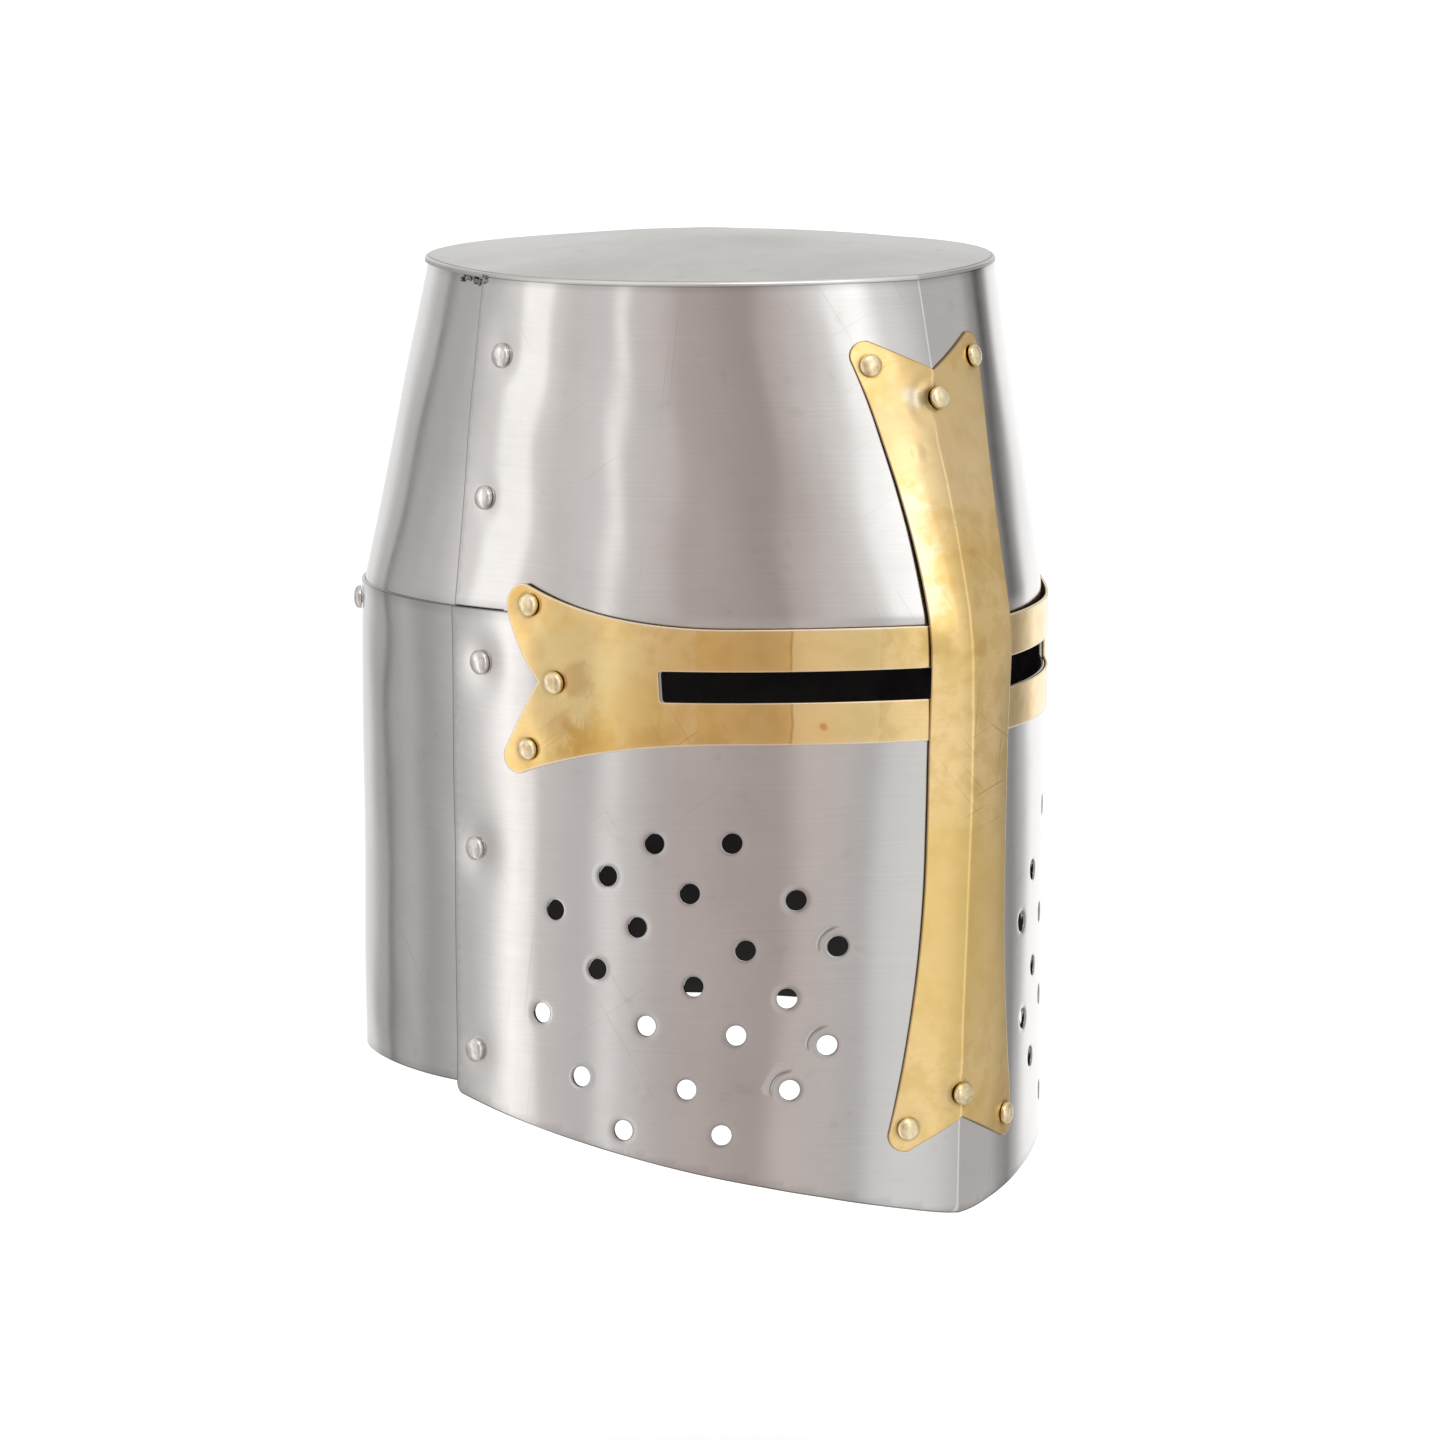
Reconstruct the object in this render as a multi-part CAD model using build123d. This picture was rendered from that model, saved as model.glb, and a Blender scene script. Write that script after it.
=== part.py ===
from build123d import *
from collections import namedtuple
from math import asin, cos, degrees, radians, sin, tan
import os

# A great helm of riveted steel sheet with a brass cross, in millimetres.
# While it is being made, X runs to the wearer's left, the face looks along -Y and Z is up,
# with height zero at the waist, where the upper and lower plates meet.
# At the end everything is moved so that the origin is at the bottom centre of the whole helm.
# Every sheet is an even offset, called grow, of one reference skin,
# which is the outer face of the upper front plate and of the lower back plate.

os.makedirs("parts", exist_ok=True)

# Heights above and below the waist
crown_height = 109.7
neck_drop = 163.0
ridge_drop = 203.5
rim_mid_drop = 182.0
rim_step = 3.2

# Plan of the skin at the neck rim: radii of its arcs, and how far back it reaches
neck_back_radius = 92.3
neck_side_radius = 207.7
neck_nose_radius = 51.3
neck_back_reach = 146.4

# Plan of the skin at the waist
waist_back_radius = 95.5
waist_side_radius = 183.4
waist_nose_radius = 19.1
waist_back_reach = 139.0

# Plan of the skin at the crown rim
crown_back_radius = 73.8
crown_side_radius = 216.8
crown_nose_radius = 90.7
crown_back_reach = 111.6

# The crease of the ridge, which is equally crisp at every height
crease_radius = 4.5

# Bearings, in degrees from straight back, where one arc of the plan runs into the next
side_bearing = 63.5
cheek_bearing = 80.4
nose_bearing = 157.5
crease_bearing = 168.0
front_bearing = 180.0

# Sheets
steel_thickness = 1.2
brass_thickness = 1.0
leather_thickness = 2.8
sheet_gap = 0.1
seat_gap = 0.05
overrun = 6.0

# Crown plate
crown_rise = 8.6
crown_lip = 3.0
dome_plan_shares = (0.90, 0.78, 0.62, 0.40, 0.14)
dome_rise_shares = (0.13, 0.28, 0.48, 0.72, 1.0)

# Seams at the sides: how far in front of or behind the middle plane the front plates end
seam_waist_y = 5.6
seam_crown_y = 10.0
seam_neck_y = 11.6
seam_lap = 22.0
waist_lap = 14.0
brow_lap = 13.0
cheek_top_drop = 8.0
cheek_top_start_y = -46.5
cheek_top_end_y = -61.5
rim_corner_radius = 3.0

# Sights and breath holes
sight_drop = 22.7
sight_height = 10.4
sight_corner_radius = 1.0
sight_end_y = -78.7
sight_bridge = 10.0
breath_hole_radius = 3.45

# Cross bar
bar_half_height = 19.4
bar_tail_half_height = 32.6
bar_flare_start_y = -100.0
bar_tail_y = -30.6
bar_tip_y = -23.6
bar_tip_half_height = 24.5
bar_lower_tail_half_height = 31.7
bar_lower_tail_y = -26.8
bar_lower_tip_y = -20.2
bar_notch_y = -36.1

# Cross upright: half widths to the wearer's right and left, which a hand-cut cross has uneven
upright_right_half_width = 14.8
upright_left_half_width = 20.9
upright_top_right_half_width = 26.8
upright_top_left_half_width = 27.0
upright_foot_right_half_width = 24.2
upright_foot_left_half_width = 30.8
upright_top_height = 90.5
upright_foot_drop = 181.0
upright_top_flare_drop = 8.0
upright_foot_flare_drop = 80.0
upright_top_notch_height = 80.0
upright_foot_notch_drop = 170.5
upright_corner_length = 6.0
upright_over_bar_top = 0.0
upright_over_bar_foot = 48.0
upright_end_drop = 190.0

# Rivets
head_radius = 4.2
head_height = 2.7
head_edge = 0.5
shank_radius = 2.0
shank_clearance = 0.05
tail_radius = 3.0
tail_height = 1.5
tail_gap = 0.2
seam_rivet_inset = 14.0
upper_seam_heights = (84.2, 36.7)
lower_seam_drops = (18.2, 81.8, 150.8)
upper_seam_inset_shares = (1.15, 0.87)
lower_seam_inset_shares = (1.04, 0.8, 0.76)
back_rivet_drop = 7.0
back_rivet_bearing = 55.0
bar_tip_rivet_distance = 153.9
bar_tip_rivet_rise = 25.3
bar_tip_rivet_fall = 23.1
bar_mid_rivet_distance = 143.4
top_rivet_height = 82.2
top_right_rivet_distance = 21.7
top_left_rivet_distance = 23.4
top_ridge_rivet_height = 70.5
foot_rivet_drop = 173.2
foot_right_rivet_distance = 18.2
foot_left_rivet_distance = 26.6
foot_ridge_rivet_drop = 162.5

# Liner
band_top_height = 54.0
band_foot_drop = 11.5
brow_bearing = 93.0
washer_radius = 5.2
washer_thickness = 0.8
washer_gap = 0.2
tongue_count = 8
tongue_thickness = 2.4
tongue_lap = 10.0
tongue_rise = 40.0
tongue_tip_radius = 11.5
tongue_plan_shares = (0.985, 0.94, 0.83, 0.65, 0.42, 0.12)
tongue_rise_shares = (0.22, 0.48, 0.72, 0.89, 0.975, 1.0)
tongue_width_shares = (0.84, 0.9, 0.8)
tongue_waist_share = 0.55
lace_radius = 1.4
lace_ring_radius = 15.4

# Breath holes of one cheek, row by row from the top. Each pair is the share of the way round
# from the ridge to the seam, and the share of the way down from the waist to the neck rim.
breath_hole_shares = (
    ((0.550, 0.465), (0.410, 0.462)),
    ((0.640, 0.536), (0.485, 0.567), (0.297, 0.580)),
    ((0.748, 0.613), (0.583, 0.640), (0.385, 0.684), (0.224, 0.677)),
    ((0.662, 0.731), (0.478, 0.760), (0.312, 0.784)),
    ((0.779, 0.831), (0.566, 0.845), (0.401, 0.861), (0.241, 0.883)),
    ((0.695, 0.958), (0.490, 0.975), (0.306, 0.975)),
    ((0.610, 1.065), (0.426, 1.069)),
)

# Sizes worked out from the ones above
layer = steel_thickness + sheet_gap
bar_grow = layer + sheet_gap
upright_grow = bar_grow + brass_thickness + sheet_gap
well_clear = 2 * waist_side_radius
sides = (-1, 1)

Level = namedtuple("Level", "height back_radius side_radius nose_radius back_reach")
neck = Level(-neck_drop, neck_back_radius, neck_side_radius, neck_nose_radius, neck_back_reach)
waist = Level(0, waist_back_radius, waist_side_radius, waist_nose_radius, waist_back_reach)
crown = Level(crown_height, crown_back_radius, crown_side_radius, crown_nose_radius, crown_back_reach)
Arc = namedtuple("Arc", "x y radius first last")


# The skin


def level_at(height):
    """The plan at any height, on the straight lines through the waist and the rim beyond it."""
    rim = crown if height > 0 else neck
    share = height / rim.height
    return Level(*[low + (high - low) * share for low, high in zip(waist, rim)])


def half_arcs(level, grow=0, brow=None):
    """The arcs of the left half of a plan, from the back to the ridge, or to a round brow."""
    bearings = (0, side_bearing, cheek_bearing, nose_bearing, crease_bearing, front_bearing)
    turn = [sin(radians(b)) for b in bearings]
    across = level.back_radius * turn[1] + level.side_radius * (turn[2] - turn[1])
    across += level.nose_radius * (turn[4] - turn[3]) - crease_radius * turn[4]
    cheek_radius = across / (turn[2] - turn[3])
    radii = (level.back_radius, level.side_radius, cheek_radius, level.nose_radius, crease_radius)
    x, y = 0, level.back_reach - level.back_radius
    arcs = []
    for index, radius in enumerate(radii):
        if index:
            x += (radii[index - 1] - radius) * turn[index]
            y += (radii[index - 1] - radius) * cos(radians(bearings[index]))
        arcs.append(Arc(x, y, radius + grow, bearings[index], bearings[index + 1]))
    if brow:
        last = arcs[2]
        brow_x = last.x + last.radius * sin(radians(brow))
        brow_radius = brow_x / sin(radians(brow))
        brow_y = last.y + (last.radius - brow_radius) * cos(radians(brow))
        arcs = arcs[:2] + [last._replace(last=brow), Arc(0, brow_y, brow_radius, brow, front_bearing)]
    return arcs


def on_arc(arc, bearing, height, side=1):
    """The point of an arc at a bearing, on the wearer's left, or right with side -1."""
    x = arc.x + arc.radius * sin(radians(bearing))
    y = arc.y + arc.radius * cos(radians(bearing))
    return (side * x, y, height)


def plan_wire(arcs, height, share=1, centre_y=0):
    """The closed plan of a set of half arcs, which can be shrunk towards a point of the middle plane."""
    arcs = [
        arc._replace(x=arc.x * share, y=centre_y + (arc.y - centre_y) * share, radius=arc.radius * share)
        for arc in arcs
    ]
    back, front = arcs[0], arcs[-1]

    def span(arc, first, last, side):
        middle = (first + last) / 2
        ends = [on_arc(arc, bearing, height, side) for bearing in (first, middle, last)]
        return ThreePointArc(*ends)

    edges = [span(back, -back.last, back.last, 1)]
    edges += [span(arc, arc.first, arc.last, 1) for arc in arcs[1:-1]]
    edges += [span(front, front.first, 2 * front_bearing - front.first, 1)]
    edges += [span(arc, arc.last, arc.first, -1) for arc in reversed(arcs[1:-1])]
    return Wire(edges)


def skin_block(foot, top, grow, brow=None):
    """A solid block inside the skin, grown outwards by a distance."""
    stops = [foot] + [0] * (foot < 0 < top) + [top]
    plans = [half_arcs(level_at(height), grow, brow) for height in stops]
    return Solid.make_loft([plan_wire(arcs, z) for arcs, z in zip(plans, stops)], ruled=True)


def skin_sheet(foot, top, outer, thickness, brow=None):
    """A sheet of even thickness that follows the skin right round."""
    hollow = skin_block(foot - overrun, top + overrun, outer - thickness, brow)
    return skin_block(foot, top, outer, brow) - hollow


def distance_to_bearing(distance, level):
    """The bearing that lies a distance round the skin from the ridge."""
    for arc in reversed(half_arcs(level)):
        length = arc.radius * radians(arc.last - arc.first)
        if distance <= length:
            break
        distance -= length
    return arc.last - degrees(distance / arc.radius)


def station(bearing, height, side, grow=0):
    """A plane on the skin, with its z axis square to the sheet and pointing outwards."""
    rim = crown if height > 0 else neck
    index = [arc.first <= bearing <= arc.last for arc in half_arcs(waist)].index(True)
    low, high = half_arcs(waist)[index], half_arcs(rim)[index]
    arc = half_arcs(level_at(height), grow)[index]
    run_x, run_y = sin(radians(bearing)), cos(radians(bearing))
    lean = ((high.x - low.x) * run_x + (high.y - low.y) * run_y + high.radius - low.radius) / rim.height
    outwards = (side * run_x, run_y, -lean)
    return Plane(origin=on_arc(arc, bearing, height, side), x_dir=(side * run_y, -run_x, 0), z_dir=outwards)


def round_station(distance, height, side, grow=0):
    """A plane on the skin, a distance round from the ridge."""
    return station(distance_to_bearing(distance, level_at(height)), height, side, grow)


def prism(plane, edges, reach=None):
    """A solid as wide as the helm and more, with a closed outline drawn on a plane."""
    return extrude(make_face(plane * Curve(children=list(edges))), amount=reach or well_clear, both=not reach)


def outline(points):
    """Straight edges through points and back to the first."""
    return [Line(a, b) for a, b in zip(points, points[1:] + points[:1])]


def side_prism(edges):
    """A prism right across the helm, from an outline of y and height."""
    return prism(Plane.YZ, edges)


def one_solid(shape):
    """The single solid of a cut or an intersection."""
    return max(shape.solids(), key=lambda solid: solid.volume)


# Rivets


def rivet(grip):
    """A rivet standing on z zero, with its domed head above and its peened tail a grip below."""
    dome = head_height - head_edge
    dome_radius = (head_radius**2 + dome**2) / (2 * dome)
    half_angle = asin(head_radius / dome_radius) / 2
    crest = (0, head_height)
    shoulder = (dome_radius * sin(half_angle), head_height - dome_radius * (1 - cos(half_angle)))
    rim = (head_radius, head_edge)
    corners = [rim, (head_radius, 0), (shank_radius, 0), (shank_radius, -grip), (tail_radius, -grip)]
    corners += [(shank_radius, -grip - tail_height), (0, -grip - tail_height), crest]
    edges = [ThreePointArc(crest, shoulder, rim)]
    edges += [Line(a, b) for a, b in zip(corners, corners[1:])]
    return revolve(make_face(Plane.XZ * Curve(children=edges)), Axis.Z)


def set_rivet(seat, outer, inner):
    """A rivet in its place: outer and inner are the skin's offsets where head and tail sit."""
    grip = outer - inner + seat_gap + tail_gap
    return one_solid(seat.location * Pos(0, 0, outer + seat_gap) * rivet(grip))


def rivet_hole(seat):
    """The hole of a rivet through every sheet."""
    return seat.location * Cylinder(shank_radius + shank_clearance, 2 * overrun)


def washer(seat, outer):
    """A washer whose outer face lies at an offset of the skin."""
    ring = Cylinder(washer_radius, washer_thickness) - Cylinder(shank_radius + shank_clearance, overrun)
    return one_solid(seat.location * Pos(0, 0, outer - washer_thickness / 2) * ring)


# Places of the rivets


def seam_y(height):
    """How far behind the middle plane the front plate ends at a height."""
    rim_y, rim_height = (seam_crown_y, crown_height) if height > 0 else (seam_neck_y, -neck_drop)
    return seam_waist_y + (rim_y - seam_waist_y) * height / rim_height


def y_to_bearing(y, height):
    """The bearing where the side of the skin lies at y, measured on its cheek arc."""
    arc = half_arcs(level_at(height))[2]
    return front_bearing / 2 + degrees(asin((arc.y - y) / arc.radius))


def seam_seats(heights, shares, side):
    """Seats of the rivets of one seam, each inset from the edge of the front plate."""
    places = [(seam_y(height) - seam_rivet_inset * share, height) for height, share in zip(heights, shares)]
    return [station(y_to_bearing(y, height), height, side) for y, height in places]


lower_seam_heights = [-drop for drop in lower_seam_drops]
upper_seam_seats = {side: seam_seats(upper_seam_heights, upper_seam_inset_shares, side) for side in sides}
lower_seam_seats = {side: seam_seats(lower_seam_heights, lower_seam_inset_shares, side) for side in sides}
back_seats = [station(back_rivet_bearing, -back_rivet_drop, side) for side in sides]
back_seats += [station(0, -back_rivet_drop, 1)]
bar_upper_seats = {
    side: round_station(bar_tip_rivet_distance, bar_tip_rivet_rise - sight_drop, side) for side in sides
}
bar_lower_seats = {
    side: round_station(bar_tip_rivet_distance, -bar_tip_rivet_fall - sight_drop, side) for side in sides
}
bar_mid_seats = {side: round_station(bar_mid_rivet_distance, -sight_drop, side) for side in sides}
top_seats = [
    round_station(top_right_rivet_distance, top_rivet_height, -1),
    round_station(top_left_rivet_distance, top_rivet_height, 1),
]
top_ridge_seat = round_station(0, top_ridge_rivet_height, 1)
foot_seats = [
    round_station(foot_right_rivet_distance, -foot_rivet_drop, -1),
    round_station(foot_left_rivet_distance, -foot_rivet_drop, 1),
]
foot_ridge_seat = round_station(0, -foot_ridge_rivet_drop, 1)


def drilled(sheet, seats):
    """A sheet with the holes of its rivets."""
    return one_solid(sheet - [rivet_hole(seat) for seat in seats])


# Steel plates

front = -well_clear
seam_at_crown = (seam_crown_y, crown_height)
seam_at_waist = (seam_waist_y, 0)
seam_at_neck = (seam_neck_y, -neck_drop)


def make_upper_front_plate():
    """The brow plate, with a skirt that goes down behind the cheek plate."""
    notch_y = seam_waist_y - seam_lap - overrun / 2
    corners = [(front, -brow_lap), (notch_y, -brow_lap), (notch_y, 0)]
    corners += [seam_at_waist, seam_at_crown, (front, crown_height)]
    sheet = skin_sheet(-brow_lap, crown_height, 0, steel_thickness) & side_prism(outline(corners))
    seats = upper_seam_seats[-1] + upper_seam_seats[1] + top_seats + [top_ridge_seat]
    return drilled(sheet, seats + list(bar_upper_seats.values()))


def make_upper_back_plate():
    """The back of the upper part, one sheet further in, with flanges behind both its neighbours."""
    corners = [(seam_waist_y - seam_lap, -waist_lap), (seam_waist_y - seam_lap, 0)]
    corners += [(seam_crown_y - seam_lap, crown_height), (well_clear, crown_height), (well_clear, -waist_lap)]
    sheet = skin_sheet(-waist_lap, crown_height, -layer, steel_thickness) & side_prism(outline(corners))
    return drilled(sheet, upper_seam_seats[-1] + upper_seam_seats[1] + back_seats)


def make_lower_back_plate():
    """The neck plate. Its flanges go forward behind the cheek plate."""
    corners = [(seam_waist_y - seam_lap, -sheet_gap), (seam_neck_y - seam_lap, -neck_drop)]
    corners += [(well_clear, -neck_drop), (well_clear, -sheet_gap)]
    sheet = skin_sheet(-neck_drop, -sheet_gap, 0, steel_thickness) & side_prism(outline(corners))
    return drilled(sheet, lower_seam_seats[-1] + lower_seam_seats[1] + back_seats)


def sight_cutters():
    """One cutter for each sight, which stop short of the ridge and leave a bridge there."""
    low, high = -sight_drop - sight_height / 2, -sight_drop + sight_height / 2
    face = make_face(Plane.YZ * Polyline((front, low), (sight_end_y, low), (sight_end_y, high),
                                         (front, high), close=True))
    end = face.vertices().group_by(Axis.Y)[-1]
    face = fillet(end, sight_corner_radius)
    cutters = []
    for side in sides:
        cutters.append(Pos(side * sight_bridge, 0, 0) * extrude(face, amount=side * well_clear))
    return cutters


def breath_hole_cutters():
    """One round cutter for each breath hole of both cheeks."""
    cutters = []
    for row in breath_hole_shares:
        for around, down in row:
            height = -neck_drop * down
            seam_arc, *front_arcs = half_arcs(level_at(height))[2:]
            round_to_seam = sum(arc.radius * radians(arc.last - arc.first) for arc in front_arcs)
            round_to_seam += seam_arc.radius * radians(nose_bearing - y_to_bearing(seam_y(height), height))
            for side in sides:
                seat = round_station(around * round_to_seam, height, side)
                cutters.append(seat.location * Cylinder(breath_hole_radius, 2 * overrun))
    return cutters


def make_lower_front_plate():
    """The face plate, one sheet further out, with its rim running down to the ridge."""
    rim_start = (seam_neck_y, -neck_drop - rim_step)
    ridge_arc = half_arcs(level_at(-ridge_drop), layer)[-1]
    tip_y = on_arc(ridge_arc, front_bearing, 0)[1]
    tip = (tip_y, -ridge_drop)
    beyond = (front, -ridge_drop)
    rim = ThreePointArc(rim_start, ((seam_neck_y + tip_y) / 2, -rim_mid_drop), tip)
    top = [seam_at_waist, (cheek_top_start_y, 0), (cheek_top_end_y, -cheek_top_drop), (front, -cheek_top_drop)]
    edges = [rim, Line(tip, beyond), Line(beyond, top[-1])]
    edges += [Line(a, b) for a, b in zip(reversed(top), list(reversed(top))[1:])]
    edges += [Line(top[0], rim_start)]
    face = make_face(Plane.YZ * Curve(children=edges))
    corner = face.vertices().sort_by_distance((0, *rim_start))[0]
    mask = extrude(fillet(corner, rim_corner_radius), amount=well_clear, both=True)
    sheet = skin_sheet(-ridge_drop - overrun, 0, layer, steel_thickness) & mask
    sheet = sheet - sight_cutters() - breath_hole_cutters()
    seats = lower_seam_seats[-1] + lower_seam_seats[1] + foot_seats + [foot_ridge_seat]
    seats += list(bar_lower_seats.values()) + list(bar_mid_seats.values())
    return drilled(sheet, seats)


def make_crown_plate():
    """The domed top, with a flat lip that sits on the edges of the walls."""
    arcs = half_arcs(crown)
    middle_y = (on_arc(arcs[0], 0, 0)[1] + on_arc(arcs[-1], front_bearing, 0)[1]) / 2
    lip_share = 1 - crown_lip / crown_back_reach
    plan_shares = (1, lip_share) + dome_plan_shares
    rises = (0, 0) + tuple(crown_rise * share for share in dome_rise_shares)

    def dome(base, lift, start):
        wires = [plan_wire(arcs, crown_height + base, 1, middle_y)]
        steps = list(zip(plan_shares, rises))[start:]
        wires += [plan_wire(arcs, crown_height + lift + rise, share, middle_y) for share, rise in steps]
        return Solid.make_loft(wires, ruled=True)

    upper = dome(0, steel_thickness, 0)
    lower = Solid.make_loft(
        [
            plan_wire(arcs, crown_height + rise, share, middle_y)
            for share, rise in list(zip(plan_shares, rises))[1:]
        ],
        ruled=True,
    )
    return one_solid(upper - lower)


# Brass cross


def make_cross_bar():
    """The bar, which follows the face plate and carries a fishtail at each end."""
    middle = -sight_drop
    edges = []
    tails = ((1, bar_tail_y, bar_tail_half_height, bar_tip_y),
             (-1, bar_lower_tail_y, bar_lower_tail_half_height, bar_lower_tip_y))
    for up, tail_y, tail_half, tip_y in tails:
        flare_length = tail_y - bar_flare_start_y
        flare_rise = tail_half - bar_half_height
        flare_radius = (flare_length**2 + flare_rise**2) / (2 * flare_rise)
        half_angle = asin(flare_length / flare_radius) / 2
        bend_y = bar_flare_start_y + flare_radius * sin(half_angle)
        bend_rise = flare_radius * (1 - cos(half_angle))
        lobe_y = (tail_y + tip_y) / 2 + (tip_y - tail_y) / 4
        lobe_rise = (tail_half * 3 + bar_tip_half_height) / 4
        start = (bar_flare_start_y, middle + up * bar_half_height)
        bend = (bend_y, middle + up * (bar_half_height + bend_rise))
        tail = (tail_y, middle + up * tail_half)
        lobe = (lobe_y, middle + up * lobe_rise)
        tip = (tip_y, middle + up * bar_tip_half_height)
        edges += [Line((front, start[1]), start), ThreePointArc(start, bend, tail)]
        edges += [ThreePointArc(tail, lobe, tip), Line(tip, (bar_notch_y, middle))]
    edges += [Line((front, middle - bar_half_height), (front, middle + bar_half_height))]
    top = bar_tail_half_height + overrun - sight_drop
    foot = -bar_lower_tail_half_height - overrun - sight_drop
    sheet = skin_sheet(foot, top, bar_grow + brass_thickness, brass_thickness) & side_prism(edges)
    sheet = sheet - sight_cutters()
    seats = [*bar_upper_seats.values(), *bar_lower_seats.values(), *bar_mid_seats.values()]
    return drilled(sheet, seats)


upright_stops = (
    (-upright_end_drop, layer + sheet_gap),
    (-upright_over_bar_foot, upright_grow),
    (upright_over_bar_top, upright_grow),
    (upright_top_height, sheet_gap),
)


def upright_inner(height):
    """How far the inner face of the upright stands off the skin at a height."""
    for (low, low_grow), (high, high_grow) in zip(upright_stops, upright_stops[1:]):
        if height <= high:
            break
    return low_grow + (high_grow - low_grow) * (height - low) / (high - low)


def upright_block(grow, beyond):
    """The space inside the upright, offset by a distance, reaching beyond both its ends."""
    heights = [height for height, _ in upright_stops]
    heights[0] -= beyond
    heights[-1] += beyond
    grows = [upright_inner(height) + grow for height in heights]
    wires = [plan_wire(half_arcs(level_at(z), g), z) for z, g in zip(heights, grows)]
    return Solid.make_loft(wires, ruled=True)


def flare(side, half_width, end_half_width, flare_start, end, up):
    """Two points of the arc that widens a limb: where it starts, and halfway."""
    length = abs(end - flare_start)
    rise = end_half_width - half_width
    radius = (length**2 + rise**2) / (2 * rise)
    half_angle = asin(length / radius) / 2
    start = (side * half_width, flare_start)
    bend = (side * (half_width + radius * (1 - cos(half_angle))), flare_start + up * radius * sin(half_angle))
    return start, bend


def make_cross_upright():
    """The upright, folded over the ridge and over the bar, with a fishtail at each end."""
    limbs = (
        (1, -upright_top_flare_drop, upright_top_height, upright_top_notch_height,
         {-1: upright_top_right_half_width, 1: upright_top_left_half_width}),
        (-1, -upright_foot_flare_drop, -upright_foot_drop, -upright_foot_notch_drop,
         {-1: upright_foot_right_half_width, 1: upright_foot_left_half_width}),
    )
    waists = {-1: upright_right_half_width, 1: upright_left_half_width}
    edges = []
    for side in sides:
        edges += [Line((side * waists[side], limbs[0][1]), (side * waists[side], limbs[1][1]))]
    for up, flare_start, end, notch, ends in limbs:
        for side in sides:
            wide = ends[side]
            shoulder = end - up * upright_corner_length
            start, bend = flare(side, waists[side], wide, flare_start, shoulder, up)
            broad = (side * wide, shoulder)
            crest = (side * (wide - upright_corner_length), end)
            corner = (side * (wide - upright_corner_length / 4), end - up * upright_corner_length / 4)
            edges += [ThreePointArc(start, bend, broad), ThreePointArc(broad, corner, crest)]
            edges += [Line(crest, (0, notch))]
    mask = extrude(make_face(Plane.XZ * Curve(children=edges)), amount=well_clear)
    sheet = upright_block(brass_thickness, 0) - upright_block(0, overrun)
    return drilled(sheet & mask, top_seats + [top_ridge_seat] + foot_seats + [foot_ridge_seat])


# Liner

band_outer = -layer - steel_thickness - sheet_gap
band_inner = band_outer - leather_thickness
tongue_outer = band_inner - sheet_gap


def make_liner_band():
    """The head band, against the walls at the sides and back, and round across the brow."""
    height = band_top_height + band_foot_drop
    sheet = skin_sheet(-band_foot_drop, band_top_height, band_outer, leather_thickness, brow_bearing)
    seats = [seats[1] for seats in upper_seam_seats.values()] + back_seats
    return drilled(sheet, seats)


def tongue_shell():
    """The domed leather shell that all the tongues are cut from."""
    foot = band_top_height - tongue_lap
    base = level_at(band_top_height)
    middle_y = (on_arc(half_arcs(base, tongue_outer)[0], 0, 0)[1]
                + on_arc(half_arcs(base, tongue_outer, brow_bearing)[-1], front_bearing, 0)[1]) / 2

    def shell(grow, drop, beyond):
        foot_arcs = half_arcs(level_at(foot - beyond), grow, brow_bearing)
        base_arcs = half_arcs(base, grow, brow_bearing)
        wires = [plan_wire(foot_arcs, foot - beyond), plan_wire(base_arcs, band_top_height)]
        for plan, rise in zip(tongue_plan_shares, tongue_rise_shares):
            height = band_top_height + tongue_rise * rise - drop
            wires.append(plan_wire(base_arcs, height, plan, middle_y))
        return Solid.make_loft(wires, ruled=True)

    outer = shell(tongue_outer, 0, 0)
    inner = shell(tongue_outer - tongue_thickness, tongue_thickness, overrun)
    return outer - inner, middle_y


def make_liner_tongues():
    """The tongues, each a petal cut from the shell, narrowing towards the crown of the head."""
    shell, middle_y = tongue_shell()
    wedge = radians(front_bearing / tongue_count)
    tongues = []
    for index in range(tongue_count):
        turn = (index + 1 / 2) * 2 * front_bearing / tongue_count
        waist_radius = waist_back_radius * tongue_waist_share
        widths = [radius * sin(wedge) / cos(wedge) * share for radius, share in
                  zip((waist_back_radius, waist_radius, tongue_tip_radius), tongue_width_shares)]
        far = 2 * waist_back_radius
        far_width = widths[0] * far / waist_back_radius
        corners = [(tongue_tip_radius, widths[2]), (waist_radius, widths[1]), (far, far_width)]
        corners += [(x, -y) for x, y in reversed(corners)]
        petal = extrude(make_face(Polyline(*corners, close=True)), amount=well_clear)
        tongues.append(one_solid(shell & (Pos(0, middle_y, 0) * Rot(0, 0, turn) * petal)))
    return tongues, middle_y


# All the pieces, by name

tongues, tongue_middle_y = make_liner_tongues()
bar_rivet_offsets = (bar_grow + brass_thickness, -steel_thickness)
cheek_rivet_offsets = (bar_grow + brass_thickness, layer - steel_thickness)
washer_inner = band_inner - washer_gap - washer_thickness
upper_seam_offsets = ((0, -layer - steel_thickness), (0, washer_inner))
lower_seam_offsets = (layer, -steel_thickness)
back_offsets = (0, washer_inner)
upright_lean_gap = head_radius * (upright_grow - sheet_gap) / upright_top_height
ridge_hollow = tail_radius * tan(radians(front_bearing - crease_bearing))


def upright_rivet(seat, height, inner):
    """A rivet that holds the upright at a height, its head clear of the upright's lean."""
    return set_rivet(seat, upright_inner(height) + brass_thickness + upright_lean_gap, inner)


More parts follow.
